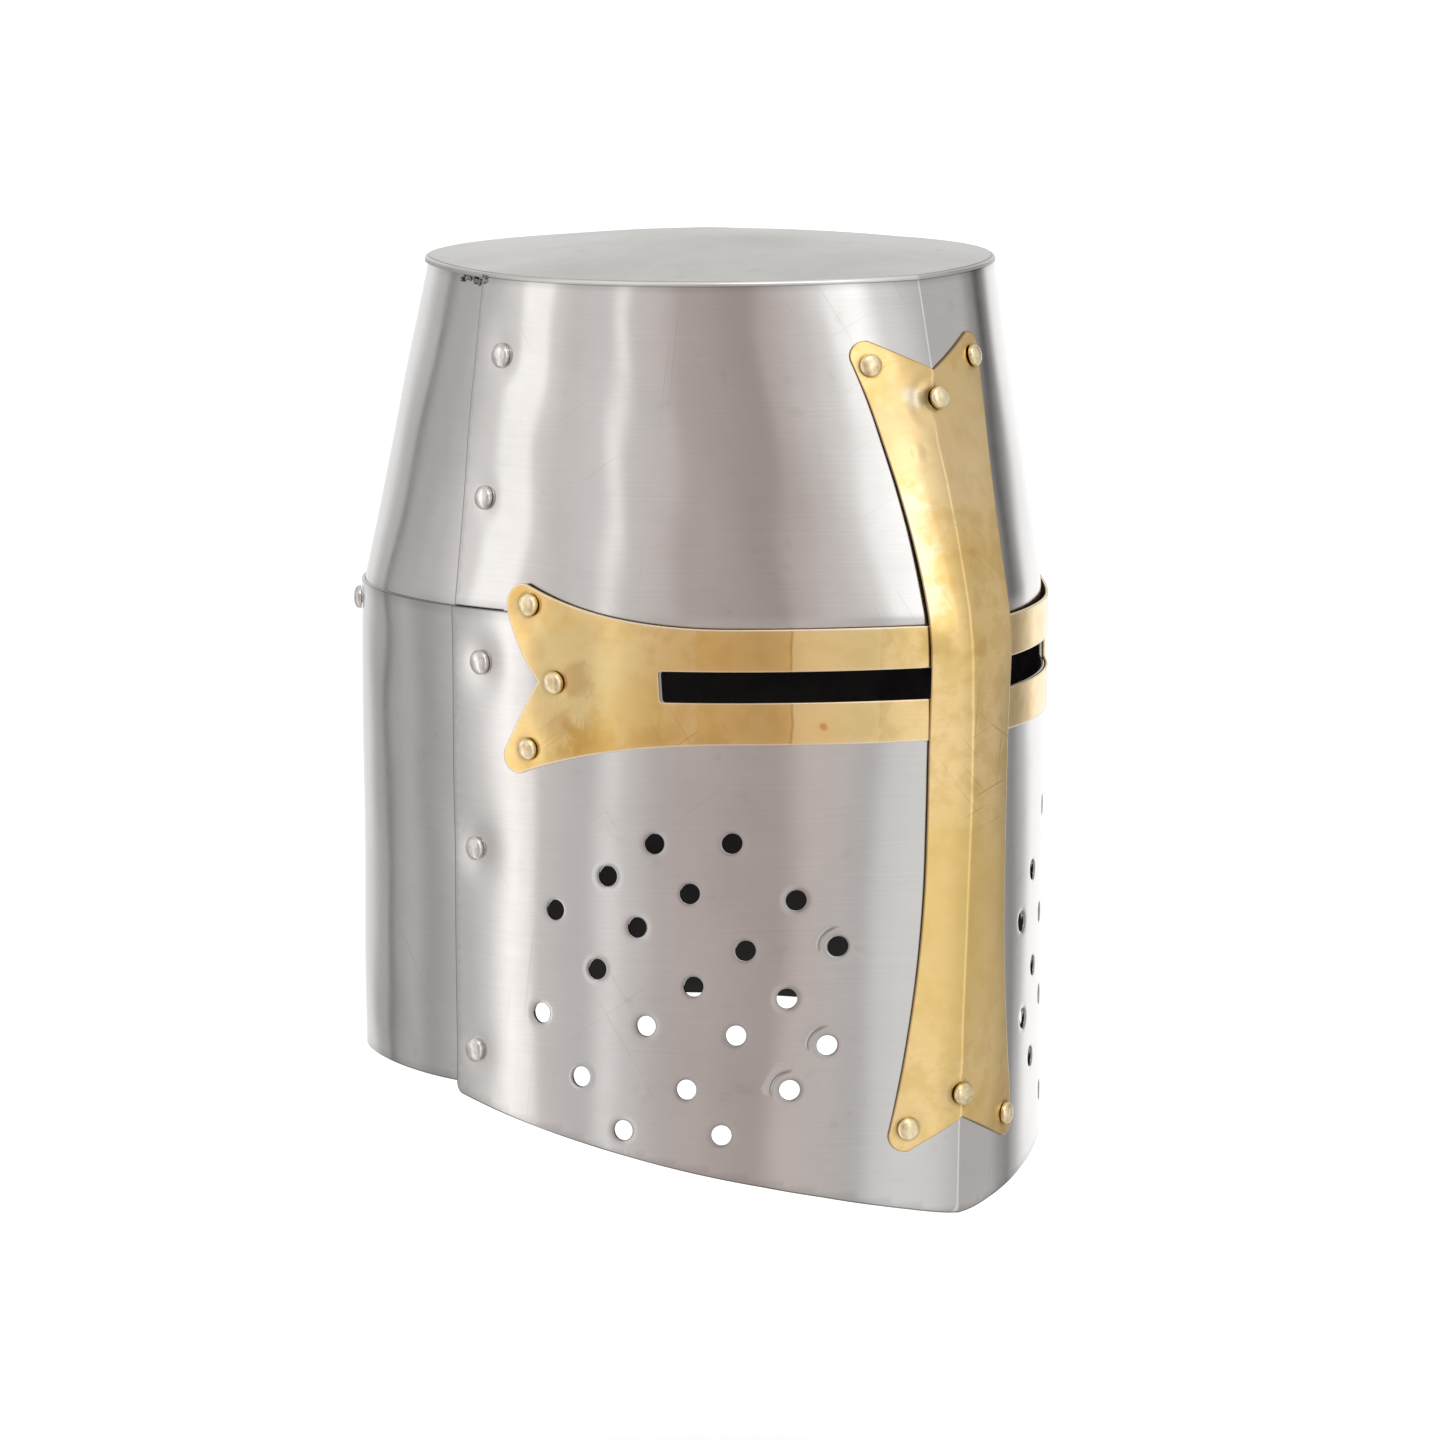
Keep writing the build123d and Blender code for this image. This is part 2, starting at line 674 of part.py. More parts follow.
names = {-1: "right", 1: "left"}
pieces = {
    "crown_plate": [make_crown_plate()],
    "upper_front_plate": [make_upper_front_plate()],
    "upper_back_plate": [make_upper_back_plate()],
    "lower_front_plate": [make_lower_front_plate()],
    "lower_back_plate": [make_lower_back_plate()],
    "cross_bar": [make_cross_bar()],
    "cross_upright": [make_cross_upright()],
    "liner_band": [make_liner_band()],
}
for side in sides:
    pieces["upper_seam_rivets_" + names[side]] = [
        set_rivet(seat, *offsets) for seat, offsets in zip(upper_seam_seats[side], upper_seam_offsets)
    ]
    pieces["lower_seam_rivets_" + names[side]] = [
        set_rivet(seat, *lower_seam_offsets) for seat in lower_seam_seats[side]
    ]
    pieces["cross_bar_rivets_" + names[side]] = [
        set_rivet(bar_upper_seats[side], *bar_rivet_offsets),
        set_rivet(bar_lower_seats[side], *cheek_rivet_offsets),
        set_rivet(bar_mid_seats[side], *cheek_rivet_offsets),
    ]
pieces["back_rivets"] = [set_rivet(seat, *back_offsets) for seat in back_seats]
pieces["cross_top_rivets"] = [upright_rivet(seat, top_rivet_height, -steel_thickness) for seat in top_seats]
pieces["cross_top_rivets"] += [
    upright_rivet(top_ridge_seat, top_ridge_rivet_height, -steel_thickness - ridge_hollow)
]
cheek_inner = layer - steel_thickness
pieces["cross_foot_rivets"] = [upright_rivet(seat, -foot_rivet_drop, cheek_inner) for seat in foot_seats]
pieces["cross_foot_rivets"] += [
    upright_rivet(foot_ridge_seat, -foot_ridge_rivet_drop, cheek_inner - ridge_hollow)
]
washer_seats = [upper_seam_seats[side][1] for side in sides] + back_seats
pieces["liner_washers"] = [washer(seat, band_inner - washer_gap) for seat in washer_seats]
for index, tongue in enumerate(tongues):
    pieces["liner_tongue_" + str(index + 1)] = [tongue]
lace_height = band_top_height + tongue_rise + lace_radius + seat_gap
pieces["liner_lace"] = [Pos(0, tongue_middle_y, lace_height) * Torus(lace_ring_radius, lace_radius)]

# Move everything to the frame of the part and write it

whole = Compound([solid for solids in pieces.values() for solid in solids]).bounding_box()
shift = Pos(-(whole.min.X + whole.max.X) / 2, -(whole.min.Y + whole.max.Y) / 2, -whole.min.Z)
for name, solids in pieces.items():
    moved = [shift * solid for solid in solids]
    shape = moved[0] if len(moved) == 1 else Compound(moved)
    export_step(shape, "parts/" + name + ".step")
    print(name, len(moved), round(sum(solid.volume for solid in moved)))
print("waist height", -whole.min.Z, "middle plane y", -(whole.min.Y + whole.max.Y) / 2)
print("size", whole.size)
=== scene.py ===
# %% [markdown]
# # A riveted great helm
# The helm is made of bent steel plates, a welded crown plate and a brass cross, with a leather liner.
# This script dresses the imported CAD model. Sheet pieces start as flat patterns, as they do for an
# armourer, and a Geometry Nodes tree rolls each one round the plan of the helm.

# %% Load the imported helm
import math
import bmesh
import bpy
import numpy as np
from mathutils import Matrix, Vector, kdtree
from mathutils.geometry import delaunay_2d_cdt


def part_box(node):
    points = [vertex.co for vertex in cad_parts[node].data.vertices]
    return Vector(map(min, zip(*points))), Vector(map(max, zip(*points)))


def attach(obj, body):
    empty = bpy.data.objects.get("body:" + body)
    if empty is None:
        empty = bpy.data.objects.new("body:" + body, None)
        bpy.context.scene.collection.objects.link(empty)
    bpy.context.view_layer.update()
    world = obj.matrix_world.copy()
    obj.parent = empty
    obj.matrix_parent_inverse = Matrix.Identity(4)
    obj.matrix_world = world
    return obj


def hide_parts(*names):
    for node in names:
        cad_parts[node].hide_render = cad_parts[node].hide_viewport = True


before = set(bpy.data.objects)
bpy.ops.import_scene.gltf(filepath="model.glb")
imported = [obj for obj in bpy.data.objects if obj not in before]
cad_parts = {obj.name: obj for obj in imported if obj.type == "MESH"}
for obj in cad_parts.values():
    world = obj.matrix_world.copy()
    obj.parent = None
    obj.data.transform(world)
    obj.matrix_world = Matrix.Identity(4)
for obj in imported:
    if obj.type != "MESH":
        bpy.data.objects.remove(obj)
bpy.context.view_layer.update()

print("CAD nodes:", len(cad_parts))

# %% [markdown]
# ## The plan rule
# Looked at from above, the helm is five arcs on each side that run into each other: back, side,
# cheek, nose and the crisp crease of the ridge. Their radii change in a straight line from the crown
# to the waist and from the waist to the neck. Everything below is drawn in millimetres with height
# zero at the waist, and a "turn" is the angle round from the ridge, positive to the wearer's left.

# %% Sizes of the plan
CROWN_HEIGHT, NECK_DROP, RIDGE_DROP = 109.7, 163.0, 203.5
CREASE_RADIUS = 4.5
STEEL_THICK, BRASS_THICK = 1.2, 1.0
ARC_NAMES = ("back", "side", "cheek", "nose", "crease")
JOINTS = np.array((0, 63.5, 80.4, 157.5, 168.0, 180.0))


def close_plan(back, side, nose):
    """The five radii of a level; the cheek radius is the one that brings the ridge to the middle."""
    turn = np.sin(np.radians(JOINTS))
    across = back * turn[1] + side * (turn[2] - turn[1])
    across += nose * (turn[4] - turn[3]) - CREASE_RADIUS * turn[4]
    return np.array((back, side, across / (turn[2] - turn[3]), nose, CREASE_RADIUS))


crown_radii, crown_reach = close_plan(73.8, 216.8, 90.7), 111.6
waist_radii, waist_reach = close_plan(95.5, 183.4, 19.1), 139.0
neck_radii, neck_reach = close_plan(92.3, 207.7, 51.3), 146.4
PLAN = dict(joints=JOINTS, crown=(crown_radii, crown_reach), waist=(waist_radii, waist_reach),
            neck=(neck_radii, neck_reach))
middle_y = 1000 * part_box("lower_back_plate")[1].y - neck_reach
waist_z = 1000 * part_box("upper_front_plate")[1].z - CROWN_HEIGHT
print("waist at", round(waist_z, 2), "mm, cheek radii", crown_radii[2].round(1), waist_radii[2].round(1))

# %% Points of the plan


def level(height, plan=PLAN):
    """Radii and back reach at any height."""
    up = np.maximum(height, 0) / CROWN_HEIGHT
    down = np.maximum(-np.asarray(height), 0) / NECK_DROP
    mixed = []
    for index in (0, 1):
        high, mid, low = (np.asarray(plan[name][index]) for name in ("crown", "waist", "neck"))
        if index == 0:
            up_, down_ = np.asarray(up)[..., None], np.asarray(down)[..., None]
        else:
            up_, down_ = up, down
        mixed.append(mid + up_ * (high - mid) + down_ * (low - mid))
    return mixed


def on_skin(turn, height, grow=0, plan=PLAN):
    """Points, in millimetres, at turns from the ridge, heights and offsets from the skin."""
    turn, height, grow = np.broadcast_arrays(np.asarray(turn, float), height, grow)
    wrapped = turn - 360 * np.round(turn / 360)
    bearing = 180 - np.abs(wrapped)
    radii, reach = level(height, plan)
    x, y = np.zeros_like(bearing), reach + 0 * bearing
    for index, (first, last) in enumerate(zip(plan["joints"], plan["joints"][1:])):
        swept = np.radians(np.clip(bearing, first, last))
        x = x + radii[..., index] * (np.sin(swept) - math.sin(math.radians(first)))
        y = y + radii[..., index] * (np.cos(swept) - math.cos(math.radians(first)))
    x = x + grow * np.sin(np.radians(bearing))
    y = y + grow * np.cos(np.radians(bearing))
    return np.stack([np.sign(wrapped) * x, y, height + 0 * x], -1)


def turn_at(distance, height):
    """The turn that lies a distance round the skin from the ridge."""
    left = np.abs(np.asarray(distance, float)) + 0 * np.asarray(height)
    radii = level(height)[0]
    turn = np.zeros_like(left)
    for index in range(4, -1, -1):
        span = radii[..., index] * math.radians(JOINTS[index + 1] - JOINTS[index])
        step = np.clip(left, 0, span)
        turn = turn + np.degrees(step / radii[..., index])
        left = left - step
    return np.sign(distance) * turn


def distance_at(turn, height):
    """How far round the skin from the ridge a turn lies."""
    radii = level(height)[0]
    wrapped = np.asarray(turn) - 360 * np.round(np.asarray(turn) / 360)
    bearing = 180 - np.abs(wrapped)
    total = 0
    for index, (first, last) in enumerate(zip(JOINTS, JOINTS[1:])):
        total = total + radii[..., index] * np.radians(last - np.clip(bearing, first, last))
    return np.sign(wrapped) * total


LOOK_UP = np.concatenate([np.arange(0, 25, 0.1), np.arange(25, 130, 0.25)])


def turn_where(axis, value, height, grow):
    """The turn, on the wearer's left, where the skin reaches an x (axis 0) or a y (axis 1)."""
    found = []
    for one_value, one_height in np.broadcast(value, height):
        reached = on_skin(LOOK_UP if axis else LOOK_UP[LOOK_UP < 80], one_height, grow)[:, axis]
        found.append(np.interp(one_value, reached, LOOK_UP[:len(reached)]))
    return np.array(found)


def to_metres(points):
    """Building millimetres to the row's metres."""
    return (np.asarray(points) + np.array([0, middle_y, waist_z])) / 1000


print("ridge at the waist y", on_skin(0, 0)[1].round(2),
      "back at the neck", on_skin(180, -NECK_DROP)[1].round(2))

# %% [markdown]
# ## The camera
# The photograph was taken from the wearer's front right, slightly above the brow, with a long lens.
# The camera's place and lens were worked out from the seams and rivets that both pictures share, so
# that the render can be laid over the photograph.

# %% Camera
YAW, PITCH, ROLL = math.radians(-36.273), math.radians(-7.354), math.radians(-1.453)
looking = Vector((-math.sin(YAW) * math.cos(PITCH), math.cos(YAW) * math.cos(PITCH), math.sin(PITCH)))
right = Vector((math.cos(YAW), math.sin(YAW), 0))
above = right.cross(looking)
across = right * math.cos(ROLL) + above * math.sin(ROLL)
upwards = -right * math.sin(ROLL) + above * math.cos(ROLL)
camera_data = bpy.data.cameras.new("camera")
camera_data.lens, camera_data.sensor_width = 287.46, 36.0
camera_data.clip_end = 50
camera = bpy.data.objects.new("camera", camera_data)
bpy.context.collection.objects.link(camera)
place = Matrix((across, upwards, -looking)).transposed().to_4x4()
place.translation = Vector(to_metres((-2306.974, -3145.266, 454.729)))
camera.matrix_world = place
bpy.context.scene.camera = camera
print("camera at", [round(v, 3) for v in place.translation])

# %% [markdown]
# ## Node helpers
# Materials and Geometry Nodes trees are both graphs. Three small helpers add a node, wire a value or
# a socket into an input, and chain maths, so that each finish below reads as a short recipe.

# %% Helpers for node graphs


def wire(tree, source, socket):
    """Puts a socket's output or a plain value into an input."""
    if isinstance(source, bpy.types.NodeSocket):
        tree.links.new(source, socket)
    elif source is not None:
        socket.default_value = source


def node(tree, kind, inputs=None, **settings):
    """A new node with settings and inputs, given by socket name or number."""
    made = tree.nodes.new(kind)
    for name, value in settings.items():
        setattr(made, name, value)
    for name, value in (inputs or {}).items():
        wire(tree, value, made.inputs[name])
    return made


def sums(tree, operation, *values, clamp=False):
    """A maths node's result."""
    made = tree.nodes.new("ShaderNodeMath")
    made.operation, made.use_clamp = operation, clamp
    for index, value in enumerate(values):
        wire(tree, value, made.inputs[index])
    return made.outputs[0]


def smooth_step(tree, value, low, high, out_low=0.0, out_high=1.0):
    """A soft threshold between two values."""
    made = node(tree, "ShaderNodeMapRange", {"Value": value, "From Min": low, "From Max": high,
                                             "To Min": out_low, "To Max": out_high},
                interpolation_type="SMOOTHSTEP")
    return made.outputs["Result"]


def mix_colour(tree, factor, first, second, blend="MIX"):
    """A blend of two colours."""
    made = tree.nodes.new("ShaderNodeMix")
    made.data_type, made.blend_type = "RGBA", blend
    wire(tree, factor, made.inputs[0])
    for index, value in ((6, first), (7, second)):
        if isinstance(value, tuple) and len(value) == 3:
            value = (*value, 1)
        wire(tree, value, made.inputs[index])
    return made.outputs[2]


def noise(tree, vector, scale, detail=3.0, roughness=0.55):
    """A noise value from 0 to 1."""
    made = node(tree, "ShaderNodeTexNoise", {"Vector": vector, "Scale": scale, "Detail": detail,
                                             "Roughness": roughness})
    return made.outputs[0]


def stretched(tree, vector, scale, rotation=(0, 0, 0)):
    """Coordinates turned and stretched by a Mapping node."""
    turned = node(tree, "ShaderNodeMapping", {"Vector": vector, "Rotation": rotation})
    return node(tree, "ShaderNodeMapping", {"Vector": turned.outputs[0], "Scale": scale}).outputs[0]


def shader_group(name, inputs, outputs):
    """An empty shader group with named sockets; inputs are (name, type, value)."""
    group = bpy.data.node_groups.new(name, "ShaderNodeTree")
    for label, kind, value in inputs:
        socket = group.interface.new_socket(label, in_out="INPUT", socket_type=kind)
        if value is not None:
            socket.default_value = value
    for label, kind in outputs:
        group.interface.new_socket(label, in_out="OUTPUT", socket_type=kind)
    return group, group.nodes.new("NodeGroupInput"), group.nodes.new("NodeGroupOutput")


FLOAT, VECTOR = "NodeSocketFloat", "NodeSocketVector"

# %% [markdown]
# ## Shared effects
# Satin steel gets its look from thousands of fine lines left by an abrasive wheel that ran round the
# helm. Noise that is stretched along the plate and squeezed in height draws them. The same idea at
# other scales gives streaks, and a threshold on turned noise leaves a few long scratches.

# %% Brush lines
brush_group, brush_in, brush_out = shader_group(
    "brush lines", [("Vector", VECTOR, None), ("Fineness", FLOAT, 2600.0), ("Length", FLOAT, 22.0),
                    ("Tilt", FLOAT, 0.03)], [("Lines", FLOAT), ("Streaks", FLOAT)])
wobble = noise(brush_group, brush_in.outputs["Vector"], 9.0, 2.0)
parts = node(brush_group, "ShaderNodeSeparateXYZ", {0: brush_in.outputs["Vector"]})
lean = sums(brush_group, "MULTIPLY", brush_in.outputs["Tilt"], wobble)
height = sums(brush_group, "ADD", parts.outputs[2], sums(brush_group, "MULTIPLY", lean, 0.3))
flow = [sums(brush_group, "MULTIPLY", parts.outputs[axis], brush_in.outputs["Length"]) for axis in (0, 1)]
fine = node(brush_group, "ShaderNodeCombineXYZ", {
    0: flow[0], 1: flow[1], 2: sums(brush_group, "MULTIPLY", height, brush_in.outputs["Fineness"])})
broad = node(brush_group, "ShaderNodeCombineXYZ", {
    0: sums(brush_group, "MULTIPLY", flow[0], 0.3), 1: sums(brush_group, "MULTIPLY", flow[1], 0.3),
    2: sums(brush_group, "MULTIPLY", height, 260.0)})
wire(brush_group, noise(brush_group, fine.outputs[0], 1.0, 4.0, 0.7), brush_out.inputs["Lines"])
wire(brush_group, noise(brush_group, broad.outputs[0], 1.0, 3.0, 0.6), brush_out.inputs["Streaks"])
print("group", brush_group.name)

# %% Scratches
scratch_group, scratch_in, scratch_out = shader_group(
    "scratches", [("Vector", VECTOR, None), ("Amount", FLOAT, 0.5), ("Crowding", FLOAT, 0.0)],
    [("Mask", FLOAT)])
masks = []
for angle, across_scale, seed in ((0.5, 900.0, 3.0), (-0.9, 1300.0, 17.0), (1.35, 1100.0, 31.0)):
    shifted = node(scratch_group, "ShaderNodeVectorMath", {0: scratch_in.outputs[0], 1: (seed, seed, seed)},
                   operation="ADD").outputs[0]
    lines = noise(scratch_group, stretched(scratch_group, shifted, (14, 14, across_scale),
                                           (angle, angle * 0.7, 0)), 1.0, 1.0, 0.4)
    crowd = scratch_in.outputs["Crowding"]
    thin = smooth_step(scratch_group, sums(scratch_group, "ADD", lines, crowd), 0.705, 0.74)
    patch = smooth_step(scratch_group, sums(scratch_group, "MULTIPLY_ADD", crowd, 3.0,
                                            noise(scratch_group, shifted, 24.0, 1.0)), 0.5, 0.66)
    masks.append(sums(scratch_group, "MULTIPLY", thin, patch))
total = sums(scratch_group, "ADD", sums(scratch_group, "ADD", masks[0], masks[1]), masks[2])
wire(scratch_group, sums(scratch_group, "MULTIPLY", total, scratch_in.outputs["Amount"], clamp=True),
     scratch_out.inputs[0])
print("group", scratch_group.name)

# %% Stains, placed marks and grain
stain_group, stain_in, stain_out = shader_group(
    "stains", [("Vector", VECTOR, None), ("Scale", FLOAT, 30.0), ("Edge", FLOAT, 0.06)],
    [("Cloud", FLOAT), ("Blots", FLOAT)])
cloud = noise(stain_group, stain_in.outputs[0], stain_in.outputs["Scale"], 4.0, 0.6)
spots = noise(stain_group, stain_in.outputs[0],
              sums(stain_group, "MULTIPLY", stain_in.outputs["Scale"], 4.0), 2.0, 0.5)
wire(stain_group, cloud, stain_out.inputs["Cloud"])
wire(stain_group, smooth_step(stain_group, spots, 0.68,
                              sums(stain_group, "ADD", 0.68, stain_in.outputs["Edge"])),
     stain_out.inputs["Blots"])
mark_group, mark_in, mark_out = shader_group(
    "placed mark", [("Vector", VECTOR, None), ("Place", VECTOR, None), ("Radius", FLOAT, 0.005)],
    [("Mask", FLOAT)])
gap = node(mark_group, "ShaderNodeVectorMath", {0: mark_in.outputs["Vector"], 1: mark_in.outputs["Place"]},
           operation="DISTANCE").outputs["Value"]
ragged = sums(mark_group, "MULTIPLY", sums(mark_group, "SUBTRACT", noise(
    mark_group, mark_in.outputs["Vector"], 180.0, 3.0), 0.5), 1.2)
reach_share = sums(mark_group, "ADD", sums(mark_group, "DIVIDE", gap, mark_in.outputs["Radius"]), ragged)
wire(mark_group, smooth_step(mark_group, reach_share, 1.0, 0.35), mark_out.inputs[0])
# A band in x with a wavering edge; the brass uses it for painted reflection bands.
painted_band_group, band_in, band_out = shader_group(
    "painted reflection band", [("Vector", VECTOR, None), ("From", FLOAT, 0.0), ("To", FLOAT, 0.01),
                  ("Softness", FLOAT, 0.001)], [("Mask", FLOAT)])
sideways = node(painted_band_group, "ShaderNodeSeparateXYZ", {0: band_in.outputs["Vector"]}).outputs[0]
sway = noise(painted_band_group, band_in.outputs["Vector"], 120.0, 2.0)
sideways = sums(painted_band_group, "MULTIPLY_ADD", sway, 0.0016, sideways)
rising, falling = (smooth_step(painted_band_group, sums(painted_band_group, "SUBTRACT", sideways, band_in.outputs[label]),
                               0.0, band_in.outputs["Softness"]) for label in ("From", "To"))
wire(painted_band_group, sums(painted_band_group, "SUBTRACT", rising, falling, clamp=True), band_out.inputs[0])
grain_group, grain_in, grain_out = shader_group(
    "leather grain", [("Vector", VECTOR, None), ("Scale", FLOAT, 700.0)], [("Height", FLOAT)])
cells = node(grain_group, "ShaderNodeTexVoronoi", {"Vector": grain_in.outputs[0],
                                                   "Scale": grain_in.outputs["Scale"]}, feature="F1")
pores = noise(grain_group, grain_in.outputs[0], 1500.0, 2.0)
wire(grain_group, sums(grain_group, "ADD", cells.outputs["Distance"],
                       sums(grain_group, "MULTIPLY", pores, 0.5)), grain_out.inputs[0])
print("groups", stain_group.name, "and", grain_group.name)


def placed(tree, group, inputs):
    """A shared group placed in a material with its own values."""
    made = tree.nodes.new("ShaderNodeGroup")
    made.node_tree = group
    for name, value in inputs.items():
        wire(tree, value, made.inputs[name])
    return made


def new_material(name):
    """A material with its Principled shader and Object coordinates."""
    material = bpy.data.materials.new(name)
    material.use_nodes = True
    tree = material.node_tree
    shader = tree.nodes["Principled BSDF"]
    return material, tree, shader, tree.nodes.new("ShaderNodeTexCoord").outputs["Object"]


def bumped(tree, height, distance, strength=1.0, under=None):
    """A Bump node's normal."""
    made = node(tree, "ShaderNodeBump", {"Height": height, "Distance": distance, "Strength": strength})
    if under is not None:
        wire(tree, under, made.inputs["Normal"])
    return made.outputs[0]


# %% [markdown]
# ## Metals
# The plates are brushed sheet: metallic, satin, and anisotropic because the lines all run the same
# way round. A Tangent node about Z tells the shader which way that is. The brass is the same recipe
# in a warm colour, with tarnish in clouds, stains, rubbed places and placed lighter and darker
# patches; on the upright some placed marks are painted highlights, painted shadow and painted shade,
# and the bands across the bar are painted reflection bands. A positive "edge" value on the mesh is
# painted shade in a dark edge colour, and on the crown a painted highlight in a pale one; a negative
# one is a painted highlight on the edge.

# %% Metal recipe


def brushed_metal(name, colour, dark, roughness, anisotropy, fineness, tilt, cloud_scale, blot_colour, blots,
                  streaks=0.12, scratches=0.25, painted_light_and_shade=0.7, marks=(), bands=(), scuffs=(), patina=(),
                  edge_colour=None, edge_polish=0.0):
    """Brushed sheet metal with streaks, clouds, blots, scratches, painted shade and painted highlights on its
    edges, and placed marks.
    """
    material, tree, shader, where = new_material(name)

    def spot(centre, radius):
        return placed(tree, mark_group, {"Vector": where, "Place": tuple(to_metres(centre)),
                                         "Radius": radius / 1000}).outputs[0]

    brush = placed(tree, brush_group, {"Vector": where, "Fineness": fineness, "Tilt": tilt})
    stain = placed(tree, stain_group, {"Vector": where, "Scale": cloud_scale})
    scratch = placed(tree, scratch_group, {"Vector": where, "Amount": scratches})
    tone = mix_colour(tree, smooth_step(tree, stain.outputs["Cloud"], 0.35, 0.7), colour, dark)
    streak = smooth_step(tree, brush.outputs["Streaks"], 0.35, 0.7, 0.0, streaks)
    tone = mix_colour(tree, streak, tone, dark)
    line = smooth_step(tree, brush.outputs["Lines"], 0.3, 0.7, 0.975, 1.015)
    tone = mix_colour(tree, 1.0, tone, node(tree, "ShaderNodeCombineColor",
                                            {0: line, 1: line, 2: line}).outputs[0], "MULTIPLY")
    tone = mix_colour(tree, sums(tree, "MULTIPLY", stain.outputs["Blots"], blots), tone, blot_colour)
    tone = mix_colour(tree, sums(tree, "MULTIPLY", scratch.outputs[0], 0.45), tone,
                      tuple(0.35 * c for c in colour))
    for scale, aged, amount in patina:
        mottle = placed(tree, stain_group, {"Vector": where, "Scale": scale}).outputs["Cloud"]
        tone = mix_colour(tree, smooth_step(tree, mottle, 0.44, 0.62, 0.0, amount), tone, aged)
    # Bands in x: on the brass these are painted reflection bands.
    for start, stop, softness, band_colour, amount in bands:
        band = placed(tree, painted_band_group, {"Vector": where, "From": start / 1000, "To": stop / 1000,
                                         "Softness": softness / 1000})
        tone = mix_colour(tree, sums(tree, "MULTIPLY", band.outputs[0], amount), tone, band_colour)
    for centre, radius, crowding, scuff_colour, amount in scuffs:
        rubbed = placed(tree, scratch_group, {"Vector": where, "Amount": amount, "Crowding": crowding})
        lines = sums(tree, "MULTIPLY", spot(centre, radius), rubbed.outputs[0])
        tone = mix_colour(tree, lines, tone, scuff_colour)
    # Placed marks: stains and lighter and darker patches, and on the brass also painted highlights, painted
    # shadow and painted shade.
    for centre, radius, mark_colour, amount in marks:
        tone = mix_colour(tree, sums(tree, "MULTIPLY", spot(centre, radius), amount), tone, mark_colour)
    # The mesh's "edge" value paints light: where positive it mixes in the edge colour, dark painted shade on
    # most pieces and a pale painted highlight on the crown; where negative it mixes in a paler colour, a
    # painted highlight.
    painted_edge_light = node(tree, "ShaderNodeAttribute", attribute_name="edge").outputs["Fac"]
    tone = mix_colour(tree, sums(tree, "MULTIPLY", painted_edge_light, painted_light_and_shade), tone,
                      edge_colour or tuple(0.12 * c for c in dark))
    tone = mix_colour(tree, sums(tree, "MULTIPLY", painted_edge_light, -1.0), tone,
                      tuple(0.5 + 0.5 * c for c in colour))
    wire(tree, tone, shader.inputs["Base Color"])
    shader.inputs["Metallic"].default_value = 1.0
    rough = sums(tree, "ADD", smooth_step(tree, brush.outputs["Streaks"], 0.3, 0.7, -0.01, 0.015),
                 smooth_step(tree, stain.outputs["Cloud"], 0.3, 0.7, roughness - 0.01, roughness + 0.03))
    worn = sums(tree, "MULTIPLY_ADD", painted_edge_light, -edge_polish, rough)
    wire(tree, sums(tree, "MAXIMUM", worn, 0.12), shader.inputs["Roughness"])
    shader.inputs["Anisotropic"].default_value = anisotropy
    shader.inputs["Anisotropic Rotation"].default_value = 0.25
    tangent = node(tree, "ShaderNodeTangent", direction_type="RADIAL", axis="Z")
    wire(tree, tangent.outputs[0], shader.inputs["Tangent"])
    lined = bumped(tree, brush.outputs["Lines"], 0.00001, 0.25)
    wire(tree, bumped(tree, scratch.outputs[0], 0.00006, 0.5, lined), shader.inputs["Normal"])
    return material


steel = brushed_metal("brushed steel", (0.62, 0.605, 0.59), (0.585, 0.57, 0.555), 0.15, 0.85, 2600.0, 0.03,
                      26.0, (0.40, 0.35, 0.31), 0.12, 0.03, 0.15, 0.85)
# The crown's pale edge colour paints a highlight along its rim.
crown_steel = brushed_metal("ground crown steel", (0.56, 0.55, 0.53), (0.51, 0.50, 0.475), 0.42, 0.3,
                            900.0, 0.2, 20.0, (0.28, 0.22, 0.18), 0.2, 0.03, 0.1, 0.9,
                            edge_colour=(0.92, 0.91, 0.89), edge_polish=0.22)
